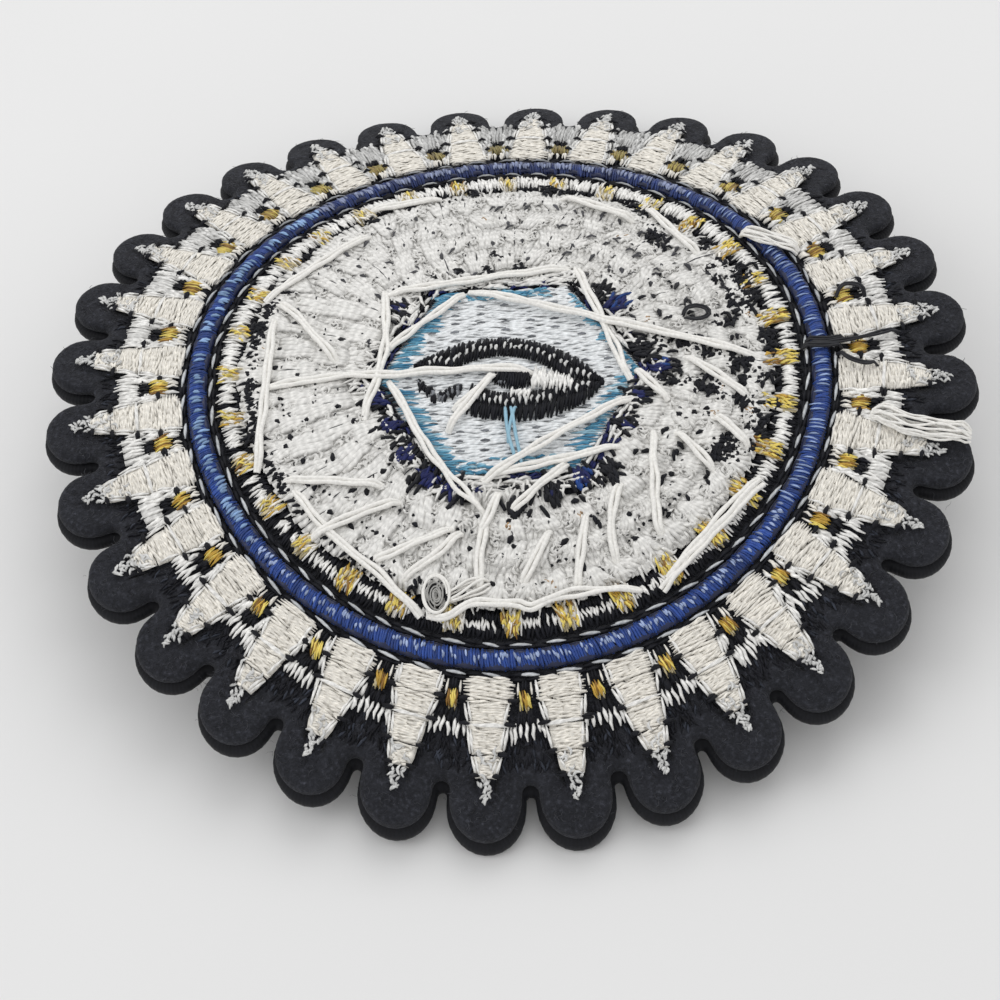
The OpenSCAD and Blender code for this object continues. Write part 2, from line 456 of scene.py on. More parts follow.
class Bed:
    """Stitches that are sewn as one piece. A measure given as a pair is a value and how far off it
    may be, and a list of forms or colours is one to choose from."""

    def __init__(self, seed, side=1):
        self.stitches = []
        self.dice = random.Random(seed)
        self.side = side

    def near(self, value, spread):
        return value + self.dice.uniform(-spread, spread)

    def drawn(self, measure):
        return self.near(*measure) if isinstance(measure, tuple) else measure

    def chance(self, share):
        return self.dice.random() < share

    def turns(self, count, spread=0.0):
        """Angles evenly round the patch, each as far off its place as the spread allows."""
        for k in range(count):
            yield 360 * k / count + (self.near(0, spread) if spread else 0)

    def stitch(self, start, end, level, width, thick, dye, form=SATINS, end_level=None):
        """Adds a stitch between two plan points, with its middle at a level above the cloth, in a
        colour that is a little lighter or darker from stitch to stitch."""
        first_level = self.drawn(level)
        last_level = first_level if end_level is None else self.drawn(end_level)
        size = [self.drawn(width) * mm, self.drawn(thick) * mm]
        colour, spread = dye
        if isinstance(colour, list):
            colour = self.dice.choice(colour)
        colour = Vector(colour) * self.near(1, spread)
        if isinstance(form, list):
            form = self.dice.choice(form)
        a = lay(*start, first_level)
        b = lay(*end, last_level)
        middle = (a + b) / 2
        along = (b - a).normalized()
        rise = Vector((0, middle.y, middle.z - axis_z * mm)) * self.side
        side = rise.cross(along).normalized()
        turn = Matrix((along, side, along.cross(side))).transposed().to_euler()
        self.stitches.append((middle, turn, Vector(((b - a).length, *size)), colour, FORM_NUMBERS[form]))

    def spoke(self, ray, start, end, *how):
        """A stitch whose ends are each so far out along a ray, and across it."""
        self.stitch(polar(ray, *map(self.drawn, start)), polar(ray, *map(self.drawn, end)), *how)

    def sweep(self, turn, lean, start, end, *how):
        """A stitch from so far out to so far out, that leans so many degrees to each side."""
        self.stitch(polar(turn - lean, self.drawn(start)), polar(turn + lean, self.drawn(end)), *how)

    def at(self, middle, way, half, *how):
        """A stitch with its middle at a plan point, pointing so many degrees round."""
        x, y = middle
        step_x, step_y = polar(self.drawn(way), self.drawn(half))
        self.stitch((x - step_x, y - step_y), (x + step_x, y + step_y), *how)

    def sew(self, name, finish, slot, *nodes):
        """Makes the stitches one mesh: each form set at its place, and the instances realized."""
        bm = bmesh.new()
        vectors = {key: bm.verts.layers.float_vector.new(key) for key in ("turn", "size", "dye", "cell")}
        form_layer = bm.verts.layers.int.new("form")
        span_layer = bm.verts.layers.float.new("span")
        cells = math.ceil(math.sqrt(len(self.stitches)))
        for number, (middle, turn, size, dye, form) in enumerate(self.stitches):
            vert = bm.verts.new(middle)
            vert[vectors["turn"]] = turn
            vert[vectors["size"]] = size
            vert[vectors["dye"]] = dye
            column, row = number % cells, number // cells
            vert[vectors["cell"]] = Vector((column + cell_margin, row + cell_margin, 0)) / cells
            vert[form_layer] = form
            vert[span_layer] = size.x / mm
        chart = bpy.data.objects.new(name + "_chart", bpy.data.meshes.new(name + "_chart"))
        bm.to_mesh(chart.data)
        bm.free()
        sewing = chart.modifiers.new("sewing", "NODES")
        sewing.node_group = sewing_nodes(name, (1 - 2 * cell_margin) / cells, finish)
        add_piece(name, mesh_of(chart), slot, *nodes)


def sewing_nodes(name, cell_size, finish):
    """Sets a form on each charted point, and gives each stitch its own cell of the bake map."""
    tree = bpy.data.node_groups.new(name + "_sewing", "GeometryNodeTree")
    for in_out in ("INPUT", "OUTPUT"):
        tree.interface.new_socket("Geometry", in_out=in_out, socket_type="NodeSocketGeometry")
    wire = Wire(tree)

    def read(key, kind="FLOAT_VECTOR"):
        return wire.node("GeometryNodeInputNamedAttribute", {"data_type": kind}, {"Name": key})

    chart = wire.node("NodeGroupInput", {}, {})
    forms = wire.node("GeometryNodeCollectionInfo", {},
                      {"Collection": form_box, "Separate Children": True, "Reset Children": True})
    turns = wire.node("FunctionNodeEulerToRotation", {}, {0: read("turn")})
    placed = wire.node("GeometryNodeInstanceOnPoints", {}, {
        "Points": chart,
        "Instance": forms,
        "Pick Instance": True,
        "Instance Index": read("form", "INT"),
        "Rotation": turns,
        "Scale": read("size"),
    })
    joined = wire.node("GeometryNodeRealizeInstances", {}, {"Geometry": placed})
    in_cell = wire.node("ShaderNodeVectorMath", {"operation": "MULTIPLY_ADD"},
                        {0: read("UVMap"), 1: (cell_size, cell_size, 0), 2: read("cell")})
    mapped = wire.node("GeometryNodeStoreNamedAttribute", {"data_type": "FLOAT2", "domain": "CORNER"},
                       {"Geometry": joined, "Name": "OFBake", "Value": in_cell})
    coloured = wire.node("GeometryNodeSetMaterial", {}, {"Geometry": mapped, "Material": finish})
    wire.node("NodeGroupOutput", {}, {0: coloured})
    return tree


def thread_finish(name, rough, sheen, shine=0.2, painted_end_shade=0.55):
    """Two-ply thread in the dye of each stitch, with its twist and its fuzz; its ends, where the needle went
    through, and its ply grooves are darkened as painted shade.
    """
    made, wire = new_finish(name)
    twist_length = 0.8
    end_shade_reach = 0.22
    dye = wire.node("ShaderNodeAttribute", {"attribute_name": "dye"}, {}, "Color")
    span = wire.node("ShaderNodeAttribute", {"attribute_name": "span"}, {}, "Fac")
    uv = wire.node("ShaderNodeUVMap", {"uv_map": "UVMap"}, {})
    along = wire.node("ShaderNodeSeparateXYZ", {}, {0: uv})
    # Painted shade: the colour darkens a little along the ply grooves, besides their bump
    plies = wire.maths("SINE", (along * span * (1 / twist_length) + along["Y"]) * (2 * math.pi))
    # Painted shade: each stitch darkens towards its ends, where it goes into the cloth
    to_end = wire.maths("MINIMUM", along, 1 - along) * span
    painted_hole_shade = wire.node("ShaderNodeMapRange", {"interpolation_type": "SMOOTHSTEP"},
                     {"Value": to_end, "From Max": end_shade_reach, "To Min": painted_end_shade, "To Max": 1.0})
    fuzz = scatter(wire, 2600.0, 3.0)
    shade(wire, dye, (plies * 0.09 + 0.93) * painted_hole_shade * (fuzz * 0.5 + 0.75), rough, shine, sheen, 0.35,
          bump=(0.7, 0.05, plies * 0.5 + fuzz * 0.6))
    return made


def shares(count):
    """The middles of so many equal parts of 1."""
    return [(k + 0.5) / count for k in range(count)]


def farness(angle):
    """How squarely a ray points at the far side, from 0 to 1."""
    return max(0.0, math.sin(math.radians(angle)))


def leftness(angle):
    return max(0.0, -math.cos(math.radians(angle)))


def rightness(angle):
    return max(0.0, math.cos(math.radians(angle)))


def whiteness(angle):
    """How much whiter the stitching is than on the near side, where a ray points: 0 to 1."""
    near_share = 0.5 - 0.5 * math.sin(math.radians(angle))
    return 1 - near_share ** 2


cloth_top = ground_t + seat_gap
petal_t = 0.8
petal_root_r = reach("ring_outline_outer") + 0.12
petal_tip_r = tip_r - 3.3
petal_length = petal_tip_r - petal_root_r
petal_top = cloth_top + petal_t
cream = (0.88, 0.845, 0.775)
bright_white = (0.90, 0.89, 0.865)
grey_white = (0.72, 0.72, 0.71)
thread_gap = 0.22
closing_up = 0.018
bar_share = 0.378
tangle_share = 0.72
tip_share = 0.81
PETAL_BLOCKS = [
    {"from": -0.035, "to": 0.165, "half": (2.40, 2.35), "pairs": 0.45},
    {"from": 0.175, "to": 0.37, "half": (2.42, 1.98), "pairs": 0.85},
    {"from": 0.385, "to": 0.61, "half": (2.08, 1.72), "pairs": 0.85},
    {"from": 0.625, "to": 0.80, "half": (1.56, 1.02), "pairs": 0.85},
]
white_thread = thread_finish("white_thread_finish", rough=0.55, sheen=0.25)


def sew_block(bed, ray, block):
    """Sews one block of a petal: padding, rows across the ray, and stitches down its sides."""
    start = petal_root_r + block["from"] * petal_length
    # The blocks close up away from the near side
    end = petal_root_r + (block["to"] + closing_up * whiteness(ray)) * petal_length
    wide, narrow = block["half"]
    # The padding is a darker copy of the cream: painted shade in the gaps between the rows over it
    for across in (-0.62, -0.2, 0.2, 0.62):
        bed.spoke(ray, (start, across * wide), (end, across * narrow),
                  petal_top - 0.34, 1.2, 0.5, (Vector(cream) * 0.92, 0.06), "pad")
    for share in shares(round((end - start) / thread_gap)):
        r = start + share * (end - start)
        half = wide + share * (narrow - wide) + bed.near(0, 0.16)
        if block["from"] > 0:
            half -= 0.3
        else:
            # The root is rounded where it meets the ring
            half -= 0.8 * max(0.0, 1 - (r - start) / 0.7) ** 2
        slant = bed.near(0.03, 0.10)
        joins = [-half, half]
        if not bed.chance(0.25):
            joins.insert(1, bed.near(0, 0.6 * half))
        for one, other in zip(joins, joins[1:]):
            level = bed.near(petal_top - 0.12, 0.05)
            bed.spoke(ray, (bed.near(r, 0.07) - slant, bed.near(one - 0.1, 0.08)),
                      (bed.near(r, 0.07) + slant, bed.near(other + 0.1, 0.08)),
                      level, (0.32, 0.05), 0.24, (cream, 0.07))
    for side in (-1, 1):
        for track in (0.05, 0.4):
            if not bed.chance(block["pairs"]):
                continue
            bed.spoke(ray, (bed.near(start + 0.15, 0.2), side * bed.near(wide - track, 0.07)),
                      (bed.near(end - 0.1, 0.2), side * bed.near(narrow - track, 0.07)),
                      (petal_top - 0.06, 0.05), (0.33, 0.05), 0.30, (bright_white, 0.05), "tick")


def sew_petal(bed, ray):
    """Sews one petal along a ray."""
    for block in PETAL_BLOCKS:
        sew_block(bed, ray, block)
    # A raised bar between the second and third blocks
    bar_r = petal_root_r + bar_share * petal_length
    for k in range(3):
        bed.spoke(ray, (bed.near(bar_r, 0.1), -bed.near(2.05, 0.15)),
                  (bed.near(bar_r, 0.1), bed.near(2.05, 0.15)),
                  petal_top + 0.02, 0.3, 0.28, (bright_white, 0.06))
    # The outer block is tangled
    whiter = whiteness(ray)
    for k in range(8 + round(6 * whiter)):
        share = bed.near(tangle_share, 0.13)
        across = bed.near(0, 1.35 - 2.6 * (share - 0.59))
        bed.at(polar(ray, petal_root_r + share * petal_length, across), (0, 180), (0.42, 0.1),
               (petal_top, 0.04), 0.3, 0.26, (grey_white, 0.15), "curl")
    # The frayed tip: short stitches, closer together and shorter towards the end
    tip_start = petal_root_r + tip_share * petal_length
    tip_count = 20 + round(7 * whiter)
    for k in range(tip_count):
        share = (k / tip_count) ** 1.15
        r = tip_start + share * (petal_tip_r - tip_start)
        across = bed.near(0, (0.75 + 0.3 * whiter) * (1 - share) + 0.12 + 0.16 * whiter)
        lean = bed.near(0, 0.35)
        bed.spoke(ray, (r - 0.22, across - lean), (r + bed.near(0.30, 0.12), across + lean),
                  (petal_top - 0.22, 0.08), (0.31, 0.05), 0.26, (grey_white, 0.15), "tick")


for i, ray in enumerate(rays):
    bed = Bed(seed=100 + i)
    sew_petal(bed, ray)
    bed.sew(f"petal_stitches_{i + 1:02d}", white_thread, "white_thread", f"petal_{i + 1:02d}")

# Blue ring: a raised roll of royal-blue satin stitches sewn across it over dark padding, whose
# navy is painted shade between the stitches, with pale bobbin ticks showing here and there towards
# the inner side.
ring_out = reach("blue_ring")
ring_in = reach("ring_outline_inner") + 0.12
ring_mid = (ring_out + ring_in) / 2
ring_top = cloth_top + 1.0
ring_gap = 0.27
royal_blue = (0.022, 0.062, 0.265)
slate_blue = (0.030, 0.048, 0.155)
navy = (0.010, 0.016, 0.055)
tick_blue = (0.36, 0.45, 0.68)
smear_blue = (0.24, 0.38, 0.62)
dusty_blue = (0.24, 0.28, 0.43)
row_blue = (0.30, 0.40, 0.64)
blue_thread = thread_finish("blue_thread_finish", rough=0.42, sheen=0.1, shine=0.4)


def rows_round(r, gap):
    """How many rows go round the patch so far out, if they lie a gap apart."""
    return round(2 * math.pi * r / gap)


def smooth_noise(x, y, z):
    return noise.noise(Vector((x, y, z)))


bed = Bed(seed=11)
# The padding's navy is painted shade in the gaps between the satin stitches
for track in (-0.6, 0.0, 0.6):
    for turn in bed.turns(72):
        bed.sweep(turn + track, 2.7, ring_mid + track, ring_mid + track,
                  ring_top - 0.55, 1.0, 0.7, (navy, 0.2), "pad")
for turn in bed.turns(rows_round(ring_mid, ring_gap), 0.1):
    lean = bed.near(0.35, 0.25)
    # The far side looks greyer
    dye = Vector(royal_blue).lerp(Vector(slate_blue), farness(turn) ** 2)
    dye *= 1 + 0.45 * smooth_noise(turn * 0.14, 5, 2)
    bed.sweep(turn, lean, ring_in + bed.near(0.02, 0.06), ring_out - bed.near(0.02, 0.06),
              (ring_top - 0.15, 0.05), (0.33, 0.03), 0.27, (dye, 0.3), "domed")
# The ticks change round the ring: clusters on the near side, broad smears at the left and the
# far side, and even rows at the right
TICKS = [
    {"from": 215, "to": 325, "step": 0.42, "chance": 0.7, "half": 0.34, "wide": 0.25, "dye": tick_blue},
    {"from": 128, "to": 215, "step": 0.75, "chance": 0.85, "half": 0.55, "wide": 0.42, "dye": smear_blue},
    {"from": 50, "to": 128, "step": 0.45, "chance": 0.85, "half": 0.52, "wide": 0.38, "dye": dusty_blue},
    {"from": -35, "to": 50, "step": 0.9, "chance": 0.9, "half": 0.68, "wide": 0.23, "dye": row_blue},
]
for ticks in TICKS:
    turn = ticks["from"]
    while turn < ticks["to"]:
        turn += bed.near(ticks["step"], 0.3 * ticks["step"])
        clustered = smooth_noise(turn * 0.55, 3, 8) > -0.12
        if not clustered or not bed.chance(ticks["chance"]):
            continue
        r = bed.near(ring_mid - 0.1, 0.3)
        half = bed.near(ticks["half"], 0.3 * ticks["half"])
        bed.stitch(polar(turn - 0.15, r - half), polar(turn + bed.near(0.15, 0.35), r + half),
                   ring_top + 0.02, (ticks["wide"], 0.06), 0.2, (ticks["dye"], 0.3), "satin")
bed.sew("ring_stitches", blue_thread, "blue_thread", "blue_ring")

# Outlines of the ring: a black line of stitches on each side, with a white running stitch in it.
line_top = cloth_top + 0.5
line_step = 1.5
ink = (0.0085, 0.0090, 0.0130)
dash_white = (0.60, 0.62, 0.64)
black_thread = thread_finish("black_thread_finish", rough=0.6, sheen=0.04)


def sew_outline(name, node, r_in, r_out, dash_r, seed):
    bed = Bed(seed)
    middle = (r_in + r_out) / 2
    steps = rows_round(middle, line_step)
    for track in (middle - 0.2, middle + 0.2):
        for k in range(steps):
            turn = 360 * (k + bed.dice.random() * 0.3) / steps
            bed.sweep(turn, 360 / steps * 0.72, (track, 0.1), (track, 0.1),
                      (line_top - 0.22, 0.05), 0.55, 0.45, (ink, 0.3), "tick")
    turn = 0.0
    while turn < 358:
        sweep = math.degrees(bed.near(2.2, 0.4) / dash_r)
        drift = bed.near(0.12, 0.1)
        # The far side's dashes are greyer
        dye = Vector(dash_white) * (1 - 0.45 * farness(turn))
        bed.stitch(polar(turn, dash_r - drift), polar(turn + sweep, dash_r + drift),
                   (line_top + 0.06, 0.03), (0.36, 0.04), 0.26, (dye, 0.15), "satin")
        turn += sweep + math.degrees(bed.near(1.35, 0.4) / dash_r)
    bed.sew(name, black_thread, "black_thread", node)


outer_line = reach("ring_outline_outer")
inner_line = reach("ring_outline_inner")
sew_outline("outer_line_stitches", "ring_outline_outer", ring_out + 0.12, outer_line, ring_out + 0.42, 21)
sew_outline("inner_line_stitches", "ring_outline_inner", reach("inner_band") + 0.12, inner_line,
            inner_line - 0.34, 22)

# Gold tufts: a few bright strands sewn along each ray between the roots of two petals, over
# paler yellow ones.
gold = (0.58, 0.36, 0.050)
glinting_gold = (0.85, 0.68, 0.16)
ochre = (0.26, 0.13, 0.018)
pale_yellow = (0.62, 0.53, 0.32)
khaki = (0.20, 0.175, 0.085)
# The bright gold is partly the thread's own lighter tone and partly a painted glint on the strands that get
# it
GOLDS = [gold, gold, glinting_gold, glinting_gold, ochre]
tuft_top = cloth_top + 0.6
tuft_r = 37.3
gold_thread = thread_finish("gold_thread_finish", rough=0.38, sheen=0.05, shine=0.5)

bed = Bed(seed=31)
for ray in valleys:
    for k in range(4):
        across = bed.near(0, 0.55)
        bed.spoke(ray, (tuft_r - bed.near(0.7, 0.2), across), (tuft_r + bed.near(1.1, 0.2), across),
                  tuft_top - 0.15, 0.34, 0.3, (pale_yellow, 0.2), "tick")
    # The near side's tufts are the narrowest, and the far side's the dullest
    wider = whiteness(ray)
    duller = 0.85 * farness(ray) ** 2
    count = 6 + round(6 * wider)
    for k in range(count):
        across = (0.42 + 0.62 * wider) * (2 * k / (count - 1) - 1)
        lean = bed.near(0.14, 0.14)
        dye = Vector(bed.dice.choice(GOLDS)).lerp(Vector(khaki), duller)
        bed.spoke(ray, (tuft_r - bed.near(0.85 + 0.15 * wider, 0.2), across - lean),
                  (tuft_r + bed.near(0.75 + 0.3 * wider, 0.25), across + lean),
                  (tuft_top + 0.1, 0.05), 0.26, 0.26, (dye, 0.15))
bed.sew("gold_tuft_stitches", gold_thread, "gold_thread", "gold_tufts")

# Between the petals: a black bar by the ring, black stitches beyond each gold tuft and over the
# felt up to the notch, and small black knots where the petals step in.
fleck_grey = (0.035, 0.040, 0.055)
KNOTS = [
    {"r": 37.25, "across": 2.5},
    {"r": 39.60, "across": 2.2},
    {"r": 42.35, "across": 1.75},
    {"r": 44.45, "across": 1.15},
]

bed = Bed(seed=41)
for ray in valleys:
    for across in (-0.14, 0.14):
        bed.spoke(ray, (petal_root_r - 0.1, across), (petal_root_r + 1.0, (across, 0.1)),
                  tuft_top - 0.05, 0.3, 0.3, (ink, 0.3), "tick")
    for side in (-1, 1):
        for r in (tuft_r - 0.6, tuft_r - 0.1, tuft_r + 0.4):
            bed.spoke(ray, (r, side * 0.45), (bed.near(r, 0.15), side * bed.near(1.05, 0.2)),
                      tuft_top - 0.1, 0.3, 0.3, (ink, 0.3), "tick")
    for k in range(16):
        across = bed.near(0, 1.0)
        r = bed.near(38.3, 0.3)
        bed.spoke(ray, (r, across), (r + bed.near(1.0, 0.3), across * bed.near(1.1, 0.2)),
                  (tuft_top - 0.05, 0.08), 0.34, 0.3, (ink, 0.4), "tick")
    for k in range(84 - round(34 * whiteness(ray))):
        r = bed.near(41.5, 2.0)
        across = bed.near(0, 1.75 + 0.33 * (r - 40))
        lean = bed.near(0, 0.3)
        dye = ink if bed.chance(0.8) else fleck_grey
        bed.spoke(ray, (r - 0.5, across - lean), ((r + 0.5, 0.2), across + lean),
                  (cloth_top + 0.12, 0.07), (0.28, 0.05), 0.24, (dye, 0.4), "tick")
for ray in rays:
    for knot in KNOTS:
        for side in (-1, 1):
            if bed.chance(0.2):
                continue
            for k in range(2):
                r = bed.near(knot["r"], 0.12)
                middle = side * bed.near(knot["across"], 0.12)
                half = bed.near(0.5, 0.12)
                bed.spoke(ray, (r, middle - half), ((r, 0.12), middle + half),
                          petal_top + 0.08, 0.46, 0.36, (ink, 0.3), "tick")
bed.sew("valley_stitches", black_thread, "black_thread")

# White fringe: short white stitches beyond the gold tufts. Away from the near side they are
# longer, and more of them fill the valley beside each tuft.
bed = Bed(seed=51)
for ray in valleys:
    whiter = whiteness(ray)
    farther = farness(ray)
    # The far side's fringe is greyer
    fringe_white = Vector(bright_white).lerp(Vector(grey_white) * 0.8, farther)
    # Wide pale stitches lie under the others where the valley is white all through; they are darker than the
    # others as painted shade beneath them
    if whiter > 0.5:
        for across, r in ((-0.95, 36.0), (0.95, 36.0), (-0.3, 39.6), (0.35, 39.6)):
            bed.spoke(ray, (r, across), (41.6 + 1.6 * farther, across * 1.35),
                      cloth_top + 0.38, 0.85, 0.4, (fringe_white * 0.8, 0.05), "pad")
    count = 7 + round(5 * whiter)
    for k in range(count):
        across = (k / (count - 1) - 0.5) * (3.4 + 0.5 * whiter) + bed.near(0, 0.14)
        start = bed.near(39.2, 0.25)
        end = start + bed.near(1.85 + 1.1 * whiter + 0.9 * farther, 0.4) - 0.15 * abs(across)
        bed.spoke(ray, (start, across * 0.92), (end, (across * 1.06, 0.15)),
                  (cloth_top + 0.52, 0.08), (0.4, 0.05), 0.3, (fringe_white, 0.1))
    for k in range(round(6 * whiter)):
        across = bed.near(0, 1.1)
        bed.spoke(ray, (petal_root_r - 0.1, across), ((petal_root_r + 1.1, 0.2), across * 0.9),
                  (cloth_top + 0.66, 0.06), 0.34, 0.3, (cream, 0.1))
    for side in (-1, 1):
        for k in range(round(24 * whiter + 9 * farther)):
            r = bed.near(38.4 + 1.1 * farther, 2.3 + 1.3 * farther)
            across = side * bed.near(1.2 + 0.09 * (r - 37.5), 0.48 + 0.12 * farther * max(0.0, r - 38))
            bed.spoke(ray, (r - bed.near(0.8, 0.2), across), (r + 0.9, (across * 1.06, 0.1)),
                      (cloth_top + 0.6, 0.1), 0.46, 0.3, (fringe_white, 0.15 + 0.2 * farther))
        bed.spoke(ray, (petal_root_r + 0.1, side * 0.62), ((petal_root_r + 1.5, 0.2), side * 0.72),
                  cloth_top + 0.6, 0.26, 0.26, (cream, 0.15), "tick")
bed.sew("fringe_stitches", white_thread, "white_thread")

# Inner band: black stitches across the band in two tiers, with white ticks showing between the
# gold patches, few on the near side and more and longer ones elsewhere.
band_out = reach("inner_band")
band_in = band_out - 3.2
band_top = cloth_top + 0.5
band_gap = 0.33
patch_turn = -2.0
patch_sweep = math.degrees(0.95 / band_in)

bed = Bed(seed=61)
for tier_in, tier_out in ((band_in + 0.05, band_in + 1.7), (band_in + 1.5, band_out - 0.05)):
    for turn in bed.turns(rows_round((tier_in + tier_out) / 2, band_gap), 0.15):
        bed.sweep(turn, bed.near(0, 0.6), (tier_in, 0.15), (tier_out, 0.15),
                  (band_top - 0.15, 0.06), (0.4, 0.05), 0.34, (ink, 0.4), "tick")
for ray in valleys:
    whiter = whiteness(ray)
    open_below = -0.3 - 0.2 * whiter + 0.25 * leftness(ray)
    for share in shares(13 + round(8 * whiter)):
        turn = ray + patch_turn + patch_sweep + (pitch - 2 * patch_sweep) * share + bed.near(0, 0.25)
        # Black clumps stay open here and there
        if smooth_noise(turn * 0.45, 11, 4) < open_below or bed.chance(0.08):
            continue
        middle = bed.near(band_in + 1.7 + 0.4 * whiter, 0.2 + 0.15 * whiter)
        half = bed.near(0.55 + 0.52 * whiter, 0.18)
        bed.sweep(turn, bed.near(0.1, 0.3), middle - half, middle + half,
                  (band_top + 0.04, 0.07), (0.31 + 0.11 * whiter, 0.04), 0.26, (bright_white, 0.1))
bed.sew("band_stitches", black_thread, "black_thread", "inner_band")

# Gold patches: small blocks of yellow and ochre strands on the inner band, one for each tuft,
# with a pale line down one side.
patch_top = band_top + seat_gap + 0.35
# Darker copies of the cream and pale yellow, for the strands under the gold ones: painted shade beneath the
# top strands
SHADED_PALES = [Vector(cream) * 0.85, Vector(pale_yellow) * 0.85]

bed = Bed(seed=71)
for ray in valleys:
    whiter = whiteness(ray)
    rightward = rightness(ray)
    ray += patch_turn
    for k in range(12):
        across = bed.near(0, 0.9)
        bed.spoke(ray, ((band_in + 0.3 - 1.2 * rightward, 0.3), across), ((band_out - 0.4, 0.3), across),
                  patch_top - 0.25, 0.5, 0.36, (SHADED_PALES, 0.15))
    # Each patch leans its own way, and its cream strands show between the gold ones
    patch_lean = bed.near(0.1, 0.3)
    gilt = bed.near(0.55, 0.3) - 0.25 * whiter + 0.35 * rightward - 0.3 * farness(ray) ** 2
    for k in range(26):
        across = bed.near(0, 0.98)
        # At the right the patches run on over the field's edge
        r = bed.near(band_in + 1.65 - 0.8 * rightward, 0.95 + 0.5 * rightward)
        half = bed.near(0.62, 0.3)
        lean = (patch_lean + bed.near(0, 0.35)) * half
        dye = bed.dice.choice(GOLDS if bed.chance(gilt) else [pale_yellow, cream, cream])
        bed.spoke(ray, (r - half, across - lean), (r + half, across + lean),
                  (patch_top - 0.05, 0.1), (0.27, 0.06), 0.25, (dye, 0.15))
    # A few strands on top in the bright gold, partly painted glints
    for k in range(6 - round(3 * whiter - 5 * rightward)):
        across = bed.near(0, 0.7)
        r = bed.near(band_in + 1.9, 0.7)
        bed.spoke(ray, (r - 0.5, across - bed.near(0, 0.4)), (r + 0.5, across + bed.near(0, 0.4)),
                  patch_top + 0.1, 0.24, 0.24, (glinting_gold, 0.2))
    bed.spoke(ray, (band_in + 0.4, 1.0), (band_out - 0.2, 1.05),
              patch_top - 0.08, 0.3, 0.26, (bright_white, 0.1), "tick")
bed.sew("gold_patch_stitches", gold_thread, "gold_thread", "gold_patches")

# Stitched field: tiers of smooth white stitches fan out round the hexagon, with cells of small
# curled knots between them, black blobs where cells meet, and a spiky outer edge.
field_r = reach("stitched_field")
field_top = cloth_top + 0.8
hex_r = reach("hexagon_border")
motif_y = (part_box("hexagon_border")[0].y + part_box("hexagon_border")[1].y) / 2 / mm
apothem_share = math.cos(math.radians(30))
white = (0.81, 0.80, 0.775)
comma_grey = (0.055, 0.055, 0.060)
tan = (0.40, 0.27, 0.16)
pad_pitch = 2.0
strap_gap = 0.42
cell_pitch = 3.3
edge_spikes = 240
tier = 3.35
tier_ins = [field_r - tier * (k + 1) for k in range(4)]
PAD_RINGS = [14.2, 15.3, 16.4, 17.5, 18.6, 19.7, 20.8, 21.9, 23.0, 24.1, 25.2, 26.3, 27.3]
# Its stitch ends get less of the painted shade than other thread
soft_white_thread = thread_finish("soft_white_thread_finish", rough=0.6, sheen=0.08, painted_end_shade=0.85)


def hexagon_depth(x, y):
    """How far a plan point lies outside the hexagon's edge, less than zero inside it."""
    turns = [math.radians(a) for a in (30, 90, 150)]
    sides = [abs(x * math.cos(turn) + (y - motif_y) * math.sin(turn)) for turn in turns]
    return max(sides) - hex_r * apothem_share


bed = Bed(seed=81)
# Padding under the stitches, so that no black cloth shows between them. It is a darker copy of the white:
# painted shade in the gaps
for pad_r in PAD_RINGS:
    for turn in bed.turns(rows_round(pad_r, pad_pitch)):
        if hexagon_depth(*polar(turn, pad_r)) > 0.5:
            bed.sweep(turn, math.degrees(1.15 / pad_r), pad_r, pad_r,
                      field_top - 0.55, 1.3, 0.5, (Vector(white) * 0.9, 0.05), "pad")
for tier_in in tier_ins:
    middle = tier_in + tier / 2
    for turn in bed.turns(rows_round(middle, strap_gap), 0.3):
        if hexagon_depth(*polar(turn, middle)) < 0.1:
            continue
        # Neighbours lean together, in drifts
        lean = 3.5 * smooth_noise(*polar(turn, middle * 0.25), tier_in)
        bed.sweep(turn, lean, (tier_in - 0.3, 0.25), (tier_in + tier + 0.2, 0.25),
                  (field_top - 0.2, 0.03), (0.85, 0.08), 0.28, (white, 0.03), STRAPS)
# Each tier is a row of knotty cells with a fan of smooth strands beside each. The fans lie longer
# and straighter at the left, and spread like shells along the outer edge.
CELLS = []
for tier_in in tier_ins:
    count = rows_round(tier_in + tier / 2, cell_pitch)
    for k in range(count):
        turn = 360 * (k + bed.near(0.25, 0.15)) / count
        r = bed.near(tier_in + tier / 2, 0.4)
        if hexagon_depth(*polar(turn, r)) > 0.9:
            CELLS.append((turn, r))
        left = leftness(turn)
        fan = turn + 180 / count
        lean = bed.near(0, 40 - 32 * left)
        half = bed.near(1.4 + 1.0 * left, 0.3)
        spread = 11 if tier_in == tier_ins[0] else 2
        if hexagon_depth(*polar(fan, r)) < 0.5 + 0.4 * half:
            continue
        for strand in range(-3, 3):
            bed.at(polar(fan, bed.near(r, 0.15), 0.38 * strand), fan + lean + spread * strand, half,
                   (field_top + 0.03, 0.03), 0.72 + 0.2 * left, 0.3, (white, 0.02), STRAPS)
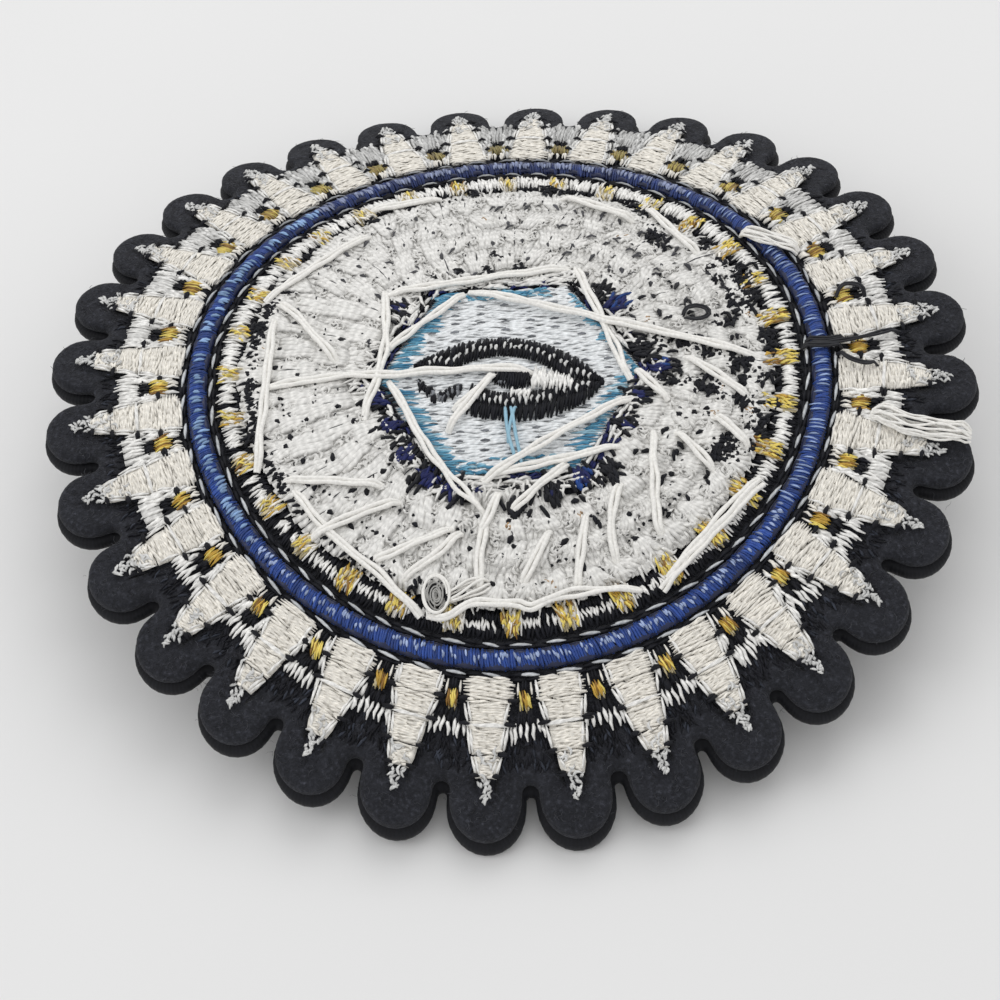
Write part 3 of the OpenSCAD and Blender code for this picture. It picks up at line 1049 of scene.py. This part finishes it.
# Black blobs where cells meet, more of them at the right; dark commas in the cells; and at the
# left rows of pinholes and long slits
for turn, r in CELLS:
    left = leftness(turn)
    farther = farness(turn)
    # The far side's blobs are greyer and slender
    blob_dye = Vector(ink).lerp(Vector(comma_grey) * 1.8, farther)
    for k in range(round(bed.near(1.0 + 1.2 * rightness(turn) - 0.4 * left, 1.0))):
        bed.at(polar(turn, r + bed.near(-1.3, 0.8), bed.near(1.4, 0.9)), (turn, 180 - 130 * farther),
               (0.5, 0.18), field_top + 0.16, (0.56 - 0.2 * farther, 0.12), 0.34, (blob_dye, 0.3), "tick")
    for k in range(2):
        bed.at(polar(turn, r + bed.dice.gauss(0, 0.75), bed.dice.gauss(0, 0.75)), (0, 180),
               (0.2, 0.07), field_top + 0.2, (0.19, 0.05), 0.16, (comma_grey, 0.5), "tick")
    if bed.chance(0.12 + 0.2 * left):
        for k in range(4):
            bed.at(polar(turn, r + bed.near(1.1, 0.15), -1.2 + 0.75 * k), (0, 180),
                   (0.2, 0.06), field_top + 0.14, (0.34, 0.08), 0.26, (ink, 0.4), "tick")
    if bed.chance(0.1 + 0.4 * max(left, farther)):
        bed.at(polar(turn, r, 1.5), (turn, 10),
               (1.5, 0.5), field_top + 0.08, 0.2, 0.2, (comma_grey, 0.4), "satin_left")
# A few tan ends show through
for k in range(11):
    turn, r = bed.dice.choice(CELLS)
    for strand in range(5):
        bed.at(polar(turn, bed.near(r, 0.45), bed.near(1.2, 0.4)), (turn, 50),
               (0.4, 0.12), field_top + 0.1, 0.28, 0.25, (tan, 0.35), "tick")
for turn in bed.turns(edge_spikes, 0.7):
    bed.sweep(turn, bed.near(0, 1.4), field_r - bed.near(1.4, 0.5), field_r + bed.dice.random() ** 2 * 1.4,
              (field_top - 0.12, 0.1), 0.34, 0.3, (white, 0.1))
# Black clumps bite into the outer edge, but for the near side, and lie further in at the right
CLUMPS = [
    (26.6, 11.6), (24.6, -1.5), (21.6, -3.6), (22.3, -12.6), (17.2, 19.0), (21.9, 16.0), (25.4, 8.0),
    (19.6, 1.8), (25.0, -6.9), (23.5, 11.6),
]
CLUMPS += [polar(bed.near(5, 42), bed.near(25.4, 1.9)) for k in range(10)]
large = len(CLUMPS)
# Small ones lie along the hexagon's far side, and in a run beside two of the jump threads, black stitches
# that also stand in for the threads' shadow: partly a painted shadow
CLUMPS += [(-7.4, 13.4), (-4.7, 14.3), (-1.6, 14.2), (-0.5, 16.6), (1.9, 14.7)]
for k in range(8):
    CLUMPS += [(16.6 + 1.2 * k, 2.6 - 0.55 * k), (16.4 + 1.1 * k, -2.9 - 0.4 * k)]
CLUMPS += [polar(bed.near(90, 130), bed.near(field_r + 0.1, 0.5)) for k in range(40)]
black_end = ((0.6, 0.2), (field_top + 0.1, 0.05), 0.46, 0.32, (ink, 0.3), "tick")
for number, (x, y) in enumerate(CLUMPS):
    spread, count = (1.15, 17) if number < large else (0.6, 6)
    way = math.degrees(math.atan2(y, x)) + 60
    for strand in range(count):
        bed.at((bed.near(x, spread), bed.near(y, spread)), (way, 70), *black_end)
# A broken black strip lies along the edge at the left
for k in range(230):
    turn = bed.near(202, 56)
    if smooth_noise(turn * 0.3, 1, 6) <= 0.22:
        bed.at(polar(turn, bed.near(field_r - 0.6, 0.6)), (turn, 45), *black_end)
bed.sew("field_stitches", soft_white_thread, "white_thread", "stitched_field")

# Knots of the field: curls of white thread, tangled into a low mound in the middle of each cell.
bed = Bed(seed=86)
for turn, r in CELLS:
    for k in range(15 - round(6 * leftness(turn))):
        away = bed.dice.gauss(0, 0.6)
        around = bed.dice.gauss(0, 0.6)
        x, y = polar(turn, r + away, around)
        if hexagon_depth(x, y) < 0.2 or math.hypot(x, y) > field_r + 0.2:
            continue
        rise = max(0.0, 0.14 - 0.08 * (away ** 2 + around ** 2))
        bed.at((x, y), (0, 180), (0.42, 0.1),
               (field_top + rise, 0.05), (0.36, 0.05), 0.3, (white, 0.04), "curl")
bed.sew("field_knots", soft_white_thread, "white_thread")

# Hexagon border: broken navy and black stitches along the six sides, crossed by white flecks.
hex_w = 2.1
hexagon_top = cloth_top + 0.9
deep_blue = (0.015, 0.020, 0.095)
bright_blue = (0.020, 0.060, 0.230)
navy_thread = thread_finish("navy_thread_finish", rough=0.5, sheen=0.1)


def along_side(side, share, depth):
    """A plan point on one side of the hexagon, so far inside its edge."""
    apothem = hex_r * apothem_share - depth
    x, y = polar(30 + 60 * side, apothem, (share - 0.5) * 2 * apothem * math.tan(math.radians(30)))
    return x, y + motif_y


# How many white stitches of the field run over each side: they hide most of the far one
COVER = [48, 130, 60, 34, 56, 38]
NAVY_PATCHES = [
    {"x": 12.4, "y": 8.0, "blue": 1.3},
    {"x": 10.4, "y": 9.8, "blue": 0.0},
    {"x": 16.3, "y": -1.3, "blue": 1.1},
    {"x": 14.6, "y": 1.2, "blue": 0.0},
    {"x": 13.8, "y": -4.8, "blue": 0.6},
    {"x": 12.2, "y": -8.4, "blue": 0.5},
    {"x": 10.2, "y": -14.2, "blue": 0.0},
    {"x": 7.2, "y": -14.3, "blue": 1.1},
    {"x": 3.9, "y": -16.0, "blue": 0.2},
    {"x": 0.3, "y": -17.4, "blue": 0.0},
    {"x": -6.4, "y": -15.1, "blue": 0.9},
    {"x": -8.8, "y": -13.5, "blue": 0.9},
    {"x": -11.0, "y": -10.5, "blue": 0.9},
    {"x": -12.7, "y": -6.9, "blue": 0.9},
    {"x": -13.7, "y": -3.6, "blue": 0.9},
    {"x": -11.4, "y": 8.9, "blue": 0.6},
]
bed = Bed(seed=91)
for side in range(6):
    for depth in (0.25, 0.65, 1.05, 1.45, 1.85):
        for share in shares(13):
            share += bed.near(0, 0.02)
            x, y = along_side(side, share, depth)
            dye = deep_blue if smooth_noise(x * 0.35, y * 0.35, 7) > 0.05 else ink
            if bed.chance(0.28):
                dye = white
            half = bed.near(0.052, 0.018)
            bed.stitch(along_side(side, share - half, bed.near(depth, 0.15)),
                       along_side(side, share + half, bed.near(depth, 0.15)),
                       (hexagon_top - 0.2, 0.08), (0.42, 0.06), 0.34, (dye, 0.3))
    for k in range(COVER[side]):
        share = bed.dice.random()
        depth = bed.near(0.1, 0.7)
        if k % 3:
            bed.stitch(along_side(side, share, depth - bed.near(0.8, 0.4)),
                       along_side(side, bed.near(share, 0.07), depth + bed.near(0.7, 0.5)),
                       (hexagon_top, 0.08), (0.36, 0.08), 0.28, (white, 0.1))
        else:
            depth = bed.near(1.0, 0.9)
            bed.stitch(along_side(side, share - 0.09, depth),
                       along_side(side, share + 0.09, bed.near(depth, 0.3)),
                       (hexagon_top + 0.04, 0.06), (0.44, 0.08), 0.3, (white, 0.1))
# Where the border swells it is navy in the middle and black round it
for patch in NAVY_PATCHES:
    # The stitches of a patch run out from the hexagon
    way = math.degrees(math.atan2(patch["y"] - motif_y, patch["x"]))
    blues = [deep_blue, deep_blue, bright_blue] if patch["blue"] > 1 else [deep_blue]
    for k in range(26):
        off_x = bed.dice.gauss(0, 0.75)
        off_y = bed.dice.gauss(0, 0.75)
        dye = bed.dice.choice(blues) if math.hypot(off_x, off_y) < patch["blue"] else ink
        bed.at((patch["x"] + off_x, patch["y"] + off_y), (way, 30), (0.65, 0.25),
               (hexagon_top + 0.06, 0.05), 0.46, 0.3, (dye, 0.3), "strap")
bed.sew("hexagon_border_stitches", navy_thread, "navy_thread", "hexagon_border")

# Hexagon panel: level rows of white stitches whose ends line up in a grid of small dashes, with
# ragged sky-blue stitches along the panel's edges.
hex_in = reach("hexagon_panel")
half_height = hex_in * apothem_share
panel_level = cloth_top + 0.7
panel_gap = 0.3
column = 2.7
sky_blue = (0.145, 0.370, 0.520)
SKY_BLUES = [sky_blue, sky_blue, (0.075, 0.255, 0.410), (0.35, 0.57, 0.69)]
dash_grey = (0.20, 0.21, 0.23)
panel_white = (0.86, 0.88, 0.895)

bed = Bed(seed=101)
# Padding under the rows, a darker copy of the panel's white: painted shade in the gaps between the rows
for share in shares(19):
    y = (2 * share - 1) * half_height
    half = hex_in - abs(y) / math.sqrt(3) - 0.3
    y += motif_y
    for k in range(6):
        bed.stitch((half * (k / 3 - 1), y), (half * ((k + 1) / 3 - 1), y),
                   panel_level - 0.42, 1.5, 0.45, (Vector(panel_white) * 0.92, 0.03), "pad")
for row in range(round(2 * half_height / panel_gap)):
    rise = -half_height + (row + 0.5) * panel_gap
    half = hex_in - abs(rise) / math.sqrt(3)
    y = rise + motif_y
    # Every fourth row a dark dash shows where its stitches end, so the dashes stand in columns
    dashed = row % 4 == 1
    x = -half
    while x < half:
        if dashed:
            stop = min(half, (math.floor(x / column + 1e-6) + 1) * column)
        else:
            stop = min(half, x + bed.near(3.2, 1.2))
        if stop - x > 0.3:
            bed.stitch((x - 0.5, bed.near(y, 0.06)), (stop + 0.5, bed.near(y, 0.06)),
                       (panel_level - 0.16, 0.03), 0.44, 0.28, (panel_white, 0.03))
        if dashed and stop < half - 1 and bed.chance(0.75):
            mid = bed.near(stop, 0.12)
            bed.stitch((mid - bed.near(0.45, 0.15), y), (mid + 0.45, bed.near(y, 0.06)),
                       panel_level - 0.02, (0.27, 0.07), 0.2, (dash_grey, 0.35), "tick")
        x = stop
    # Sky blue: long and ragged at the left corner, shorter and patchy at the right
    for end, usual, varied in ((-1, 2.5, 1.2), (1, 2.3 if rise < -1 else 0.9, 1.8)):
        length = bed.near(usual + varied * smooth_noise(end * 3, rise * 0.8, 2), 0.8)
        if length > 0.4:
            dye = bed.dice.choice(SKY_BLUES)
            bed.stitch((end * (half + 0.05), y), (end * (half - length), bed.near(y, 0.15)),
                       (panel_level, 0.05), 0.32, 0.28, (dye, 0.15))
for edge in (-1, 1):
    for k in range(60):
        x = bed.near(-1.5, 6.0)
        depth = bed.dice.random() ** 1.5 * (1.6 if edge < 0 else 1.0)
        y = edge * (half_height - 0.1 - depth) + motif_y
        dye = bed.dice.choice(SKY_BLUES)
        bed.stitch((x - bed.near(0.7, 0.3), y), (x + bed.near(0.7, 0.3), bed.near(y, 0.2)),
                   (panel_level, 0.05), 0.32, 0.28, (dye, 0.15))
bed.sew("panel_stitches", soft_white_thread, "pale_blue_thread", "hexagon_panel")

# Eye: an almond band of upright black stitches on the panel, with white ticks between them. It is
# thick at the right and under the pupil, and thin and broken at the lower left.
eye_top = panel_level + seat_gap + 0.45
eye_l = 20.4
eye_h = 9.4
eye_band = 1.8
eye_turn = -9.5
inner_l = eye_l - 2 * eye_band * eye_l / eye_h
inner_h = eye_h - 2 * eye_band


def in_eye(along, rise):
    """A plan point of the eye, measured along its length and across it."""
    x, y = polar(eye_turn, along, rise)
    return x, y + motif_y


def almond_half(along, length, height):
    """Half the height of an almond between two arcs, at a place along its length."""
    arc_r = (length ** 2 / 4 + height ** 2 / 4) / height
    return max(0.0, math.sqrt(max(0.0, arc_r ** 2 - along ** 2)) - arc_r + height / 2)


def eye_edges(along):
    """How far from its middle line the eye's band begins and ends, at a place along it."""
    return almond_half(along, inner_l, inner_h), almond_half(along, eye_l, eye_h)


bed = Bed(seed=111)
for side in (-1, 1):
    for share in shares(66):
        along = share * eye_l - eye_l / 2 + bed.near(0, 0.05)
        if side < 0 and along < -3.7:
            continue
        inner, outer = eye_edges(along)
        inner = max(0.0, inner - 0.4)
        # The lower band is much the thicker of the two
        if side < 0:
            outer += 1.2 * min(1.0, (eye_l / 2 - along) / 1.7)
        middle = (inner + outer) / 2
        for low, high in ((inner, middle + 0.15), (middle - 0.15, outer)):
            bed.stitch(in_eye(along, side * (low - 0.1)),
                       in_eye(bed.near(along, 0.15), side * bed.near(high + 0.15, 0.15)),
                       (eye_top - 0.15, 0.06), (0.44, 0.06), 0.34, (ink, 0.35), "tick")
    for share in shares(28):
        along = (share - 0.5) * (eye_l - 2.6) + bed.near(0, 0.12)
        if side < 0 and along < -3.4:
            continue
        inner, outer = eye_edges(along)
        middle = inner + (outer - inner) * bed.near(0.42, 0.14)
        half = bed.near(0.44, 0.14)
        bed.stitch(in_eye(along, side * (middle - half)),
                   in_eye(along + bed.near(0.05, 0.15), side * (middle + half)),
                   eye_top + 0.06, (0.32, 0.08), 0.26, (grey_white, 0.2))
# The lower band is missing at the left, but for a few dark ends
SMUDGES = [(-8.7, -2.2), (-8.0, -2.9), (-7.2, -3.5), (-6.5, -3.3), (-5.8, -2.9), (-5.1, -2.5)]
for along, rise in SMUDGES:
    for k in range(6):
        place = bed.near(along, 0.45)
        middle = bed.near(rise, 0.4)
        half = bed.near(0.5, 0.15)
        bed.stitch(in_eye(place, middle - half), in_eye(place + bed.near(-0.1, 0.35), middle + half),
                   panel_level + 0.12, (0.38, 0.08), 0.26, ([ink, ink, ink, dash_grey], 0.3))
bed.sew("eye_stitches", black_thread, "black_thread", "eye_outline")

# Pupil: a block of black stitches with a few pale flecks, and upright white stitches beside it.
bed = Bed(seed=121)
for k in range(17):
    along = -1.5 + 0.27 * k
    half = math.sqrt(max(0.25, 2.2 ** 2 - (along - 0.6) ** 2)) * 0.62
    bed.stitch(in_eye(along, bed.near(-half - 0.6, 0.15)),
               in_eye(bed.near(along, 0.1), bed.near(half - 0.3, 0.15)),
               (eye_top - 0.12, 0.05), 0.4, 0.36, (ink, 0.3))
for k in range(5):
    along = bed.near(-0.5, 0.35)
    bed.stitch(in_eye(along, -1.6), in_eye(along, -1.1), eye_top + 0.08, 0.16, 0.2, (dash_grey, 0.3))
for k in range(24):
    along = bed.near(2.7 + 0.18 * k, 0.1)
    bed.stitch(in_eye(along, -bed.near(1.6, 0.35)),
               in_eye(along + bed.near(0.1, 0.2), bed.near(1.3 - 0.045 * k, 0.3)),
               (eye_top + 0.04, 0.07), (0.36, 0.06), 0.3, (bright_white, 0.08))
for k in range(10):
    along = bed.near(0.7 + 0.22 * k, 0.1)
    bed.stitch(in_eye(along, -bed.near(3.0, 0.3)), in_eye(along + bed.near(0.1, 0.2), -bed.near(1.9, 0.2)),
               (eye_top + 0.06, 0.05), (0.36, 0.06), 0.3, (bright_white, 0.08))
bed.sew("pupil_stitches", black_thread, "black_thread", "pupil")

# Jump threads: two white strands side by side that run loose from one place to the next over the
# field, held only at their ends. Each is set at one of four heights in turn.
strand_d = 0.6
strand_twist = 12.0
jump_white = (0.83, 0.815, 0.78)
JUMPS = [
    [(-6.7, 27.0), (-14.6, 25.5)],
    [(-14.8, 21.1), (-26.2, 11.2)],
    [(-25.1, 8.5), (-26.6, -11.6)],
    [(-24.7, 10.8), (-18.3, 1.8)],
    [(-13.1, 11.6), (-13.1, 3.2), (-15.4, -6.0)],
    [(-4.4, 10.6), (-12.9, 2.9)],
    [(-12.9, 11.0), (7.4, 13.5)],
    [(-3.8, 10.9), (11.1, 5.3), (26.9, -0.9)],
    [(8.1, 13.8), (13.0, -3.2)],
    [(-27.2, -1.5), (-17.9, -0.5), (-13.0, -0.7), (-0.7, -0.6), (2.9, -1.4)],
    [(-12.7, -1.2), (-7.6, -11.9), (-2.9, -18.3)],
    [(13.1, -5.1), (-3.2, -14.3)],
    [(11.2, -11.0), (-2.7, -13.7)],
    [(5.6, -12.8), (-0.3, -17.9)],
    [(-1.4, -15.8), (-3.7, -20.3)],
    [(-1.3, -1.1), (-4.2, -4.8), (-6.6, -8.1)],
    [(-1.6, -1.0), (-3.6, -3.6), (-5.9, -5.4)],
    [(-22.7, -14.0), (-19.1, -18.9), (-13.7, -24.2), (-10.1, -28.5)],
    [(-23.8, -12.9), (-13.5, -14.1)],
    [(-11.7, -16.1), (-21.0, -19.5)],
    [(-6.6, -19.4), (-14.6, -22.4)],
    [(-5.6, -20.0), (-11.6, -24.7)],
    [(-3.0, -19.2), (-4.0, -26.2)],
    [(-9.4, -28.5), (-7.6, -29.0), (-4.8, -27.8), (0.0, -28.1), (1.1, -28.5), (5.3, -27.3), (12.3, -27.0)],
    [(25.6, -16.4), (14.4, -27.2)],
    [(25.2, -15.7), (15.0, -25.9)],
    [(14.8, -9.5), (14.5, -19.3), (14.8, -21.6)],
    [(11.0, -15.5), (10.0, -19.0), (10.0, -24.1)],
    [(7.2, -18.8), (5.9, -26.7)],
    [(3.4, -20.3), (0.4, -25.6)],
    [(17.1, -9.9), (20.6, -14.6)],
    [(21.3, -8.3), (24.5, -12.0)],
    [(13.6, -1.6), (16.6, -5.7)],
    [(18.8, -0.3), (24.9, -5.7)],
    [(16.5, 22.8), (21.6, 14.7)],
    [(6.9, 25.6), (14.9, 20.9)],
]


def smooth_run(points, step=0.5):
    """Plan points joined by a smooth curve through them, with a point every step or so."""
    ends = [Vector(p) for p in points]
    ends = [ends[0] * 2 - ends[1], *ends, ends[-1] * 2 - ends[-2]]
    places = []
    for a, b, c, d in zip(ends, ends[1:], ends[2:], ends[3:]):
        count = max(2, round((c - b).length / step))
        for k in range(count):
            t = k / count
            bend = (2 * b + (c - a) * t + (2 * a - 5 * b + 4 * c - d) * t ** 2
                    + (3 * b - a - 3 * c + d) * t ** 3)
            places.append(bend / 2)
    places.append(ends[-2])
    return places


class Strands:
    """Loose strands that are made one mesh."""

    def __init__(self, name, diameter, seed):
        self.name = name
        self.curve = bpy.data.curves.new(name, "CURVE")
        self.curve.dimensions = "3D"
        self.curve.bevel_depth = diameter / 2 * mm
        self.curve.bevel_resolution = 1
        self.curve.use_fill_caps = True
        self.dice = random.Random(seed)

    def run(self, points, level, count=2, apart=0.56, end_level=None, twist=strand_twist):
        """Lays strands side by side along plan points, from the cloth up to a level and down again."""
        places = smooth_run(points)
        phase = self.dice.uniform(0, 2 * math.pi)
        turn_by = 2 * math.pi / twist * self.dice.choice([-1, 1])
        sway = self.dice.uniform(-0.25, 0.25)
        low = field_top - 0.15 if end_level is None else end_level
        for strand in range(count):
            spline = self.curve.splines.new("POLY")
            spline.points.add(len(places) - 1)
            gone = 0.0
            for k, place in enumerate(places):
                ahead = places[min(k + 1, len(places) - 1)] - places[max(k - 1, 0)]
                gone += (place - places[k - 1]).length if k else 0.0
                share = k / (len(places) - 1)
                # 0 at both ends of the run and 1 in its middle
                arc = math.sin(math.pi * share) if share < 1 else 0.0
                side = Vector((-ahead.y, ahead.x)).normalized()
                angle = 0.8 * math.sin(phase + gone * turn_by) + 2 * math.pi * strand / count
                spread = apart / 2 * (0.4 + 0.6 * arc ** 0.4)
                wander = smooth_noise(gone * 0.35, strand * 5, phase) * (0.08 + 0.3 * apart) + sway * arc
                off = place + side * (math.cos(angle) * spread + wander)
                lift = low + (level - low) * min(1, 3.5 * arc)
                rise = max(lift + math.sin(angle) * spread * 0.35, low - 0.2)
                spline.points[k].co = (*lay(off.x, off.y, rise), 1)
                spline.points[k].radius = 0.9 + 0.15 * smooth_noise(gone, strand, 9)

    def lay_down(self, finish, slot):
        """Turns the strands into a mesh that rides on the patch."""
        mesh = mesh_of(bpy.data.objects.new(self.name, self.curve))
        mesh.materials.clear()
        mesh.materials.append(finish)
        for face in mesh.polygons:
            face.use_smooth = True
        add_piece(self.name, mesh, slot)


def strand_finish(name, colour, rough, sheen):
    """Loose thread of one colour, with its fuzz."""
    made, wire = new_finish(name)
    fuzz = scatter(wire, 3200.0, 3.0)
    shade(wire, colour, fuzz * 0.5 + 0.75, rough, 0.4, sheen, 0.35, bump=(0.7, 0.06, fuzz))
    return made


loose_white = strand_finish("loose_white_thread", jump_white, 0.55, 0.3)
strands = Strands("jump_threads", strand_d, seed=131)
for number, jump in enumerate(JUMPS):
    strands.run(jump, field_top + 0.32 + 0.11 * (number % 4))
strands.lay_down(loose_white, "white_thread")

# Loose bundles: unspun white strands over the ring at the far right and over a petal at the
# right, and a small coil of thread on the near side of the band.
loose_top = 3.1
loose_end = 2.3
coil_x = -8.4
coil_y = -26.6
coil_steps = 14
coil_grey = (0.36, 0.355, 0.34)
BUNDLES = [
    {"points": [(26.6, 17.6), (29.0, 16.4), (32.6, 14.2)], "count": 12, "apart": 1.7, "level": 3.1},
    {"points": [(37.6, -8.7), (40.5, -10.2), (44.0, -11.4), (47.4, -12.2)],
     "count": 14, "apart": 2.3, "level": 3.1},
    {"points": [(-7.3, -26.9), (-5.3, -26.4), (-3.0, -25.4)], "count": 7, "apart": 1.6, "level": 2.9},
]


def coil_of(size, grow, turns):
    """Plan points of an upright oval coil that grows so much a turn."""
    points = []
    for k in range(coil_steps * turns):
        turn = 2 * math.pi * k / coil_steps
        wide = size + grow * k / coil_steps
        points.append((coil_x + wide * math.cos(turn), coil_y + 1.55 * wide * math.sin(turn)))
    return points


bundles = Strands("loose_bundles", 0.32, seed=141)
for bundle in BUNDLES:
    bundles.run(bundle["points"], bundle["level"], bundle["count"], bundle["apart"], loose_end, twist=90.0)
bundles.run(coil_of(1.12, 0.08, 2), loose_top, 1, 0.0, end_level=2.9)
bundles.lay_down(loose_white, "white_thread")
loose_grey = strand_finish("loose_grey_thread", coil_grey, 0.6, 0.2)
coil = Strands("coil_core", 0.2, seed=145)
coil.run(coil_of(0.25, 0.2, 4), 2.8, 1, 0.0, end_level=2.6)
coil.lay_down(loose_grey, "white_thread")

# Black ends: a tie of black thread over the ring at the right, and three stray loops.
TIES = [
    [(31.6, 0.5), (33.6, 0.1), (36.5, 0.4), (41.9, 1.5)],
    [(31.4, 0.1), (33.6, -0.3), (35.6, -0.3)],
    [(31.8, 0.9), (33.8, 0.6), (36.0, 0.9)],
    [(19.0, 5.2), (19.6, 6.0), (20.6, 6.2), (21.6, 5.8), (21.8, 5.0), (21.0, 4.5), (19.9, 4.5), (19.1, 5.1)],
    [(35.8, 7.0), (36.8, 8.3), (38.4, 8.1), (38.9, 6.8)],
    [(35.0, -0.9), (36.0, -2.2), (37.6, -3.0), (39.0, -2.8)],
]
loose_black = strand_finish("loose_black_thread", ink, 0.55, 0.1)
ties = Strands("black_ties", 0.34, seed=151)
for tie in TIES:
    ties.run(tie, loose_top, 2, 0.3, loose_end)
ties.lay_down(loose_black, "black_thread")

# Blue ends: three light-blue strands hang from under the pupil to the panel's lower edge.
tail_blue = (0.27, 0.47, 0.59)
TAILS = [
    [(-0.5, -5.4), (-0.2, -8.6), (0.4, -12.4)],
    [(0.7, -5.5), (0.2, -8.0), (-0.3, -9.8)],
    [(0.1, -5.4), (0.5, -9.0), (0.9, -12.7)],
]
loose_blue = strand_finish("loose_blue_thread", tail_blue, 0.5, 0.2)
tails = Strands("blue_tails", 0.42, seed=161)
for tail in TAILS:
    tails.run(tail, eye_top + 0.2, 1, 0.0, end_level=panel_level)
tails.lay_down(loose_blue, "pale_blue_thread")

# Fuzz: fine fibres that lie on the felt and give it its nap, and a few that stand off it, most of
# them along its cut edge.
fuzz_black = (0.055, 0.057, 0.066)
nap_count = 3600
hair_count = 230

bed = Bed(seed=171)
for k in range(nap_count):
    ray = bed.dice.choice(rays)
    r = bed.near(45.4, 4.0)
    across = bed.near(0, 3.4)
    if r > lobe_mid and math.hypot(r - lobe_mid, across) > lobe_w / 2 - 1:
        continue
    x, y = polar(ray, r, across)
    step_x, step_y = polar(bed.near(ray, 180), bed.near(0.6, 0.35))
    bed.stitch((x, y), (x + step_x, y + step_y), ground_t + 0.03, 0.06, 0.05, (fuzz_black, 0.7), "nap")
for k in range(hair_count):
    ray = bed.dice.choice(rays)
    # Few stand up away from the near side
    if bed.chance(1.3 * whiteness(ray)):
        continue
    if bed.chance(0.55):
        way = bed.near(ray, 90)
        mid_x, mid_y = polar(ray, lobe_mid)
        out_x, out_y = polar(way, lobe_w / 2 - bed.near(0.35, 0.25))
        x, y = mid_x + out_x, mid_y + out_y
        way = bed.near(way, 75)
    else:
        x, y = polar(ray, bed.near(45.5, 3.5), bed.near(0, 2.6))
        way = bed.near(0, 180)
    step_x, step_y = polar(way, 0.3 + 0.7 * bed.dice.random() ** 3)
    bed.stitch((x, y), (x + step_x, y + step_y), ground_t - 0.3, 0.028, 0.028, (fuzz_black, 0.5), "hair",
               (ground_t + 0.1, 0.25))
bed.sew("felt_fuzz", black_thread, "black_cloth")

# Face side: the same layout in plain satin stitches on the hidden face, petals, ring, field,
# hexagon and eye, a little coarser than the reverse.
face_level = -0.5
face_gap = 0.42
face_tier = 3.2

bed = Bed(seed=181, side=-1)
for ray in rays:
    for share in shares(round(petal_length / face_gap)):
        half = 2.35 * (1 - share) ** 0.8 + 0.15
        r = petal_root_r + share * petal_length
        bed.spoke(ray, (r, -half), (r, half), face_level, 0.5, 0.5, (cream, 0.08))
bed.sew("face_petal_stitches", white_thread, "white_thread", "face_petals")

bed = Bed(seed=182, side=-1)
for turn in bed.turns(rows_round(ring_mid, face_gap)):
    bed.sweep(turn, 0.3, ring_in, ring_out, face_level - 0.05, 0.5, 0.45, (royal_blue, 0.2), "domed")
bed.sew("face_ring_stitches", blue_thread, "blue_thread", "face_ring")

bed = Bed(seed=183, side=-1)
tier_in = 13.0
while tier_in < ring_in - 0.6:
    tier_out = min(tier_in + face_tier, ring_in - 0.15)
    for turn in bed.turns(rows_round(tier_out, 0.5)):
        # Rows that start at the hexagon are shorter
        start = tier_in
        while hexagon_depth(*polar(turn, start)) < 0.1:
            start += 0.2
        if start <= tier_out - 0.3:
            bed.stitch(polar(turn, start), polar(bed.near(turn, 0.4), tier_out + 0.2),
                       face_level, 0.58, 0.5, (white, 0.06), "tick")
    tier_in = tier_out
bed.sew("face_field_stitches", white_thread, "white_thread", "face_field")

bed = Bed(seed=184, side=-1)
for side in range(6):
    for share in shares(36):
        bed.stitch(along_side(side, share, 0), along_side(side, share, hex_w),
                   face_level, 0.5, 0.48, (navy, 0.2), "satin")
bed.sew("face_hexagon_stitches", navy_thread, "navy_thread", "face_hexagon")

bed = Bed(seed=185, side=-1)
for side in (-1, 1):
    for share in shares(52):
        along = share * eye_l - eye_l / 2
        inner, outer = eye_edges(along)
        bed.stitch(in_eye(along, side * inner), in_eye(along, side * outer),
                   face_level, 0.46, 0.46, (ink, 0.2), "satin")
bed.sew("face_eye_stitches", black_thread, "black_thread", "face_eye")
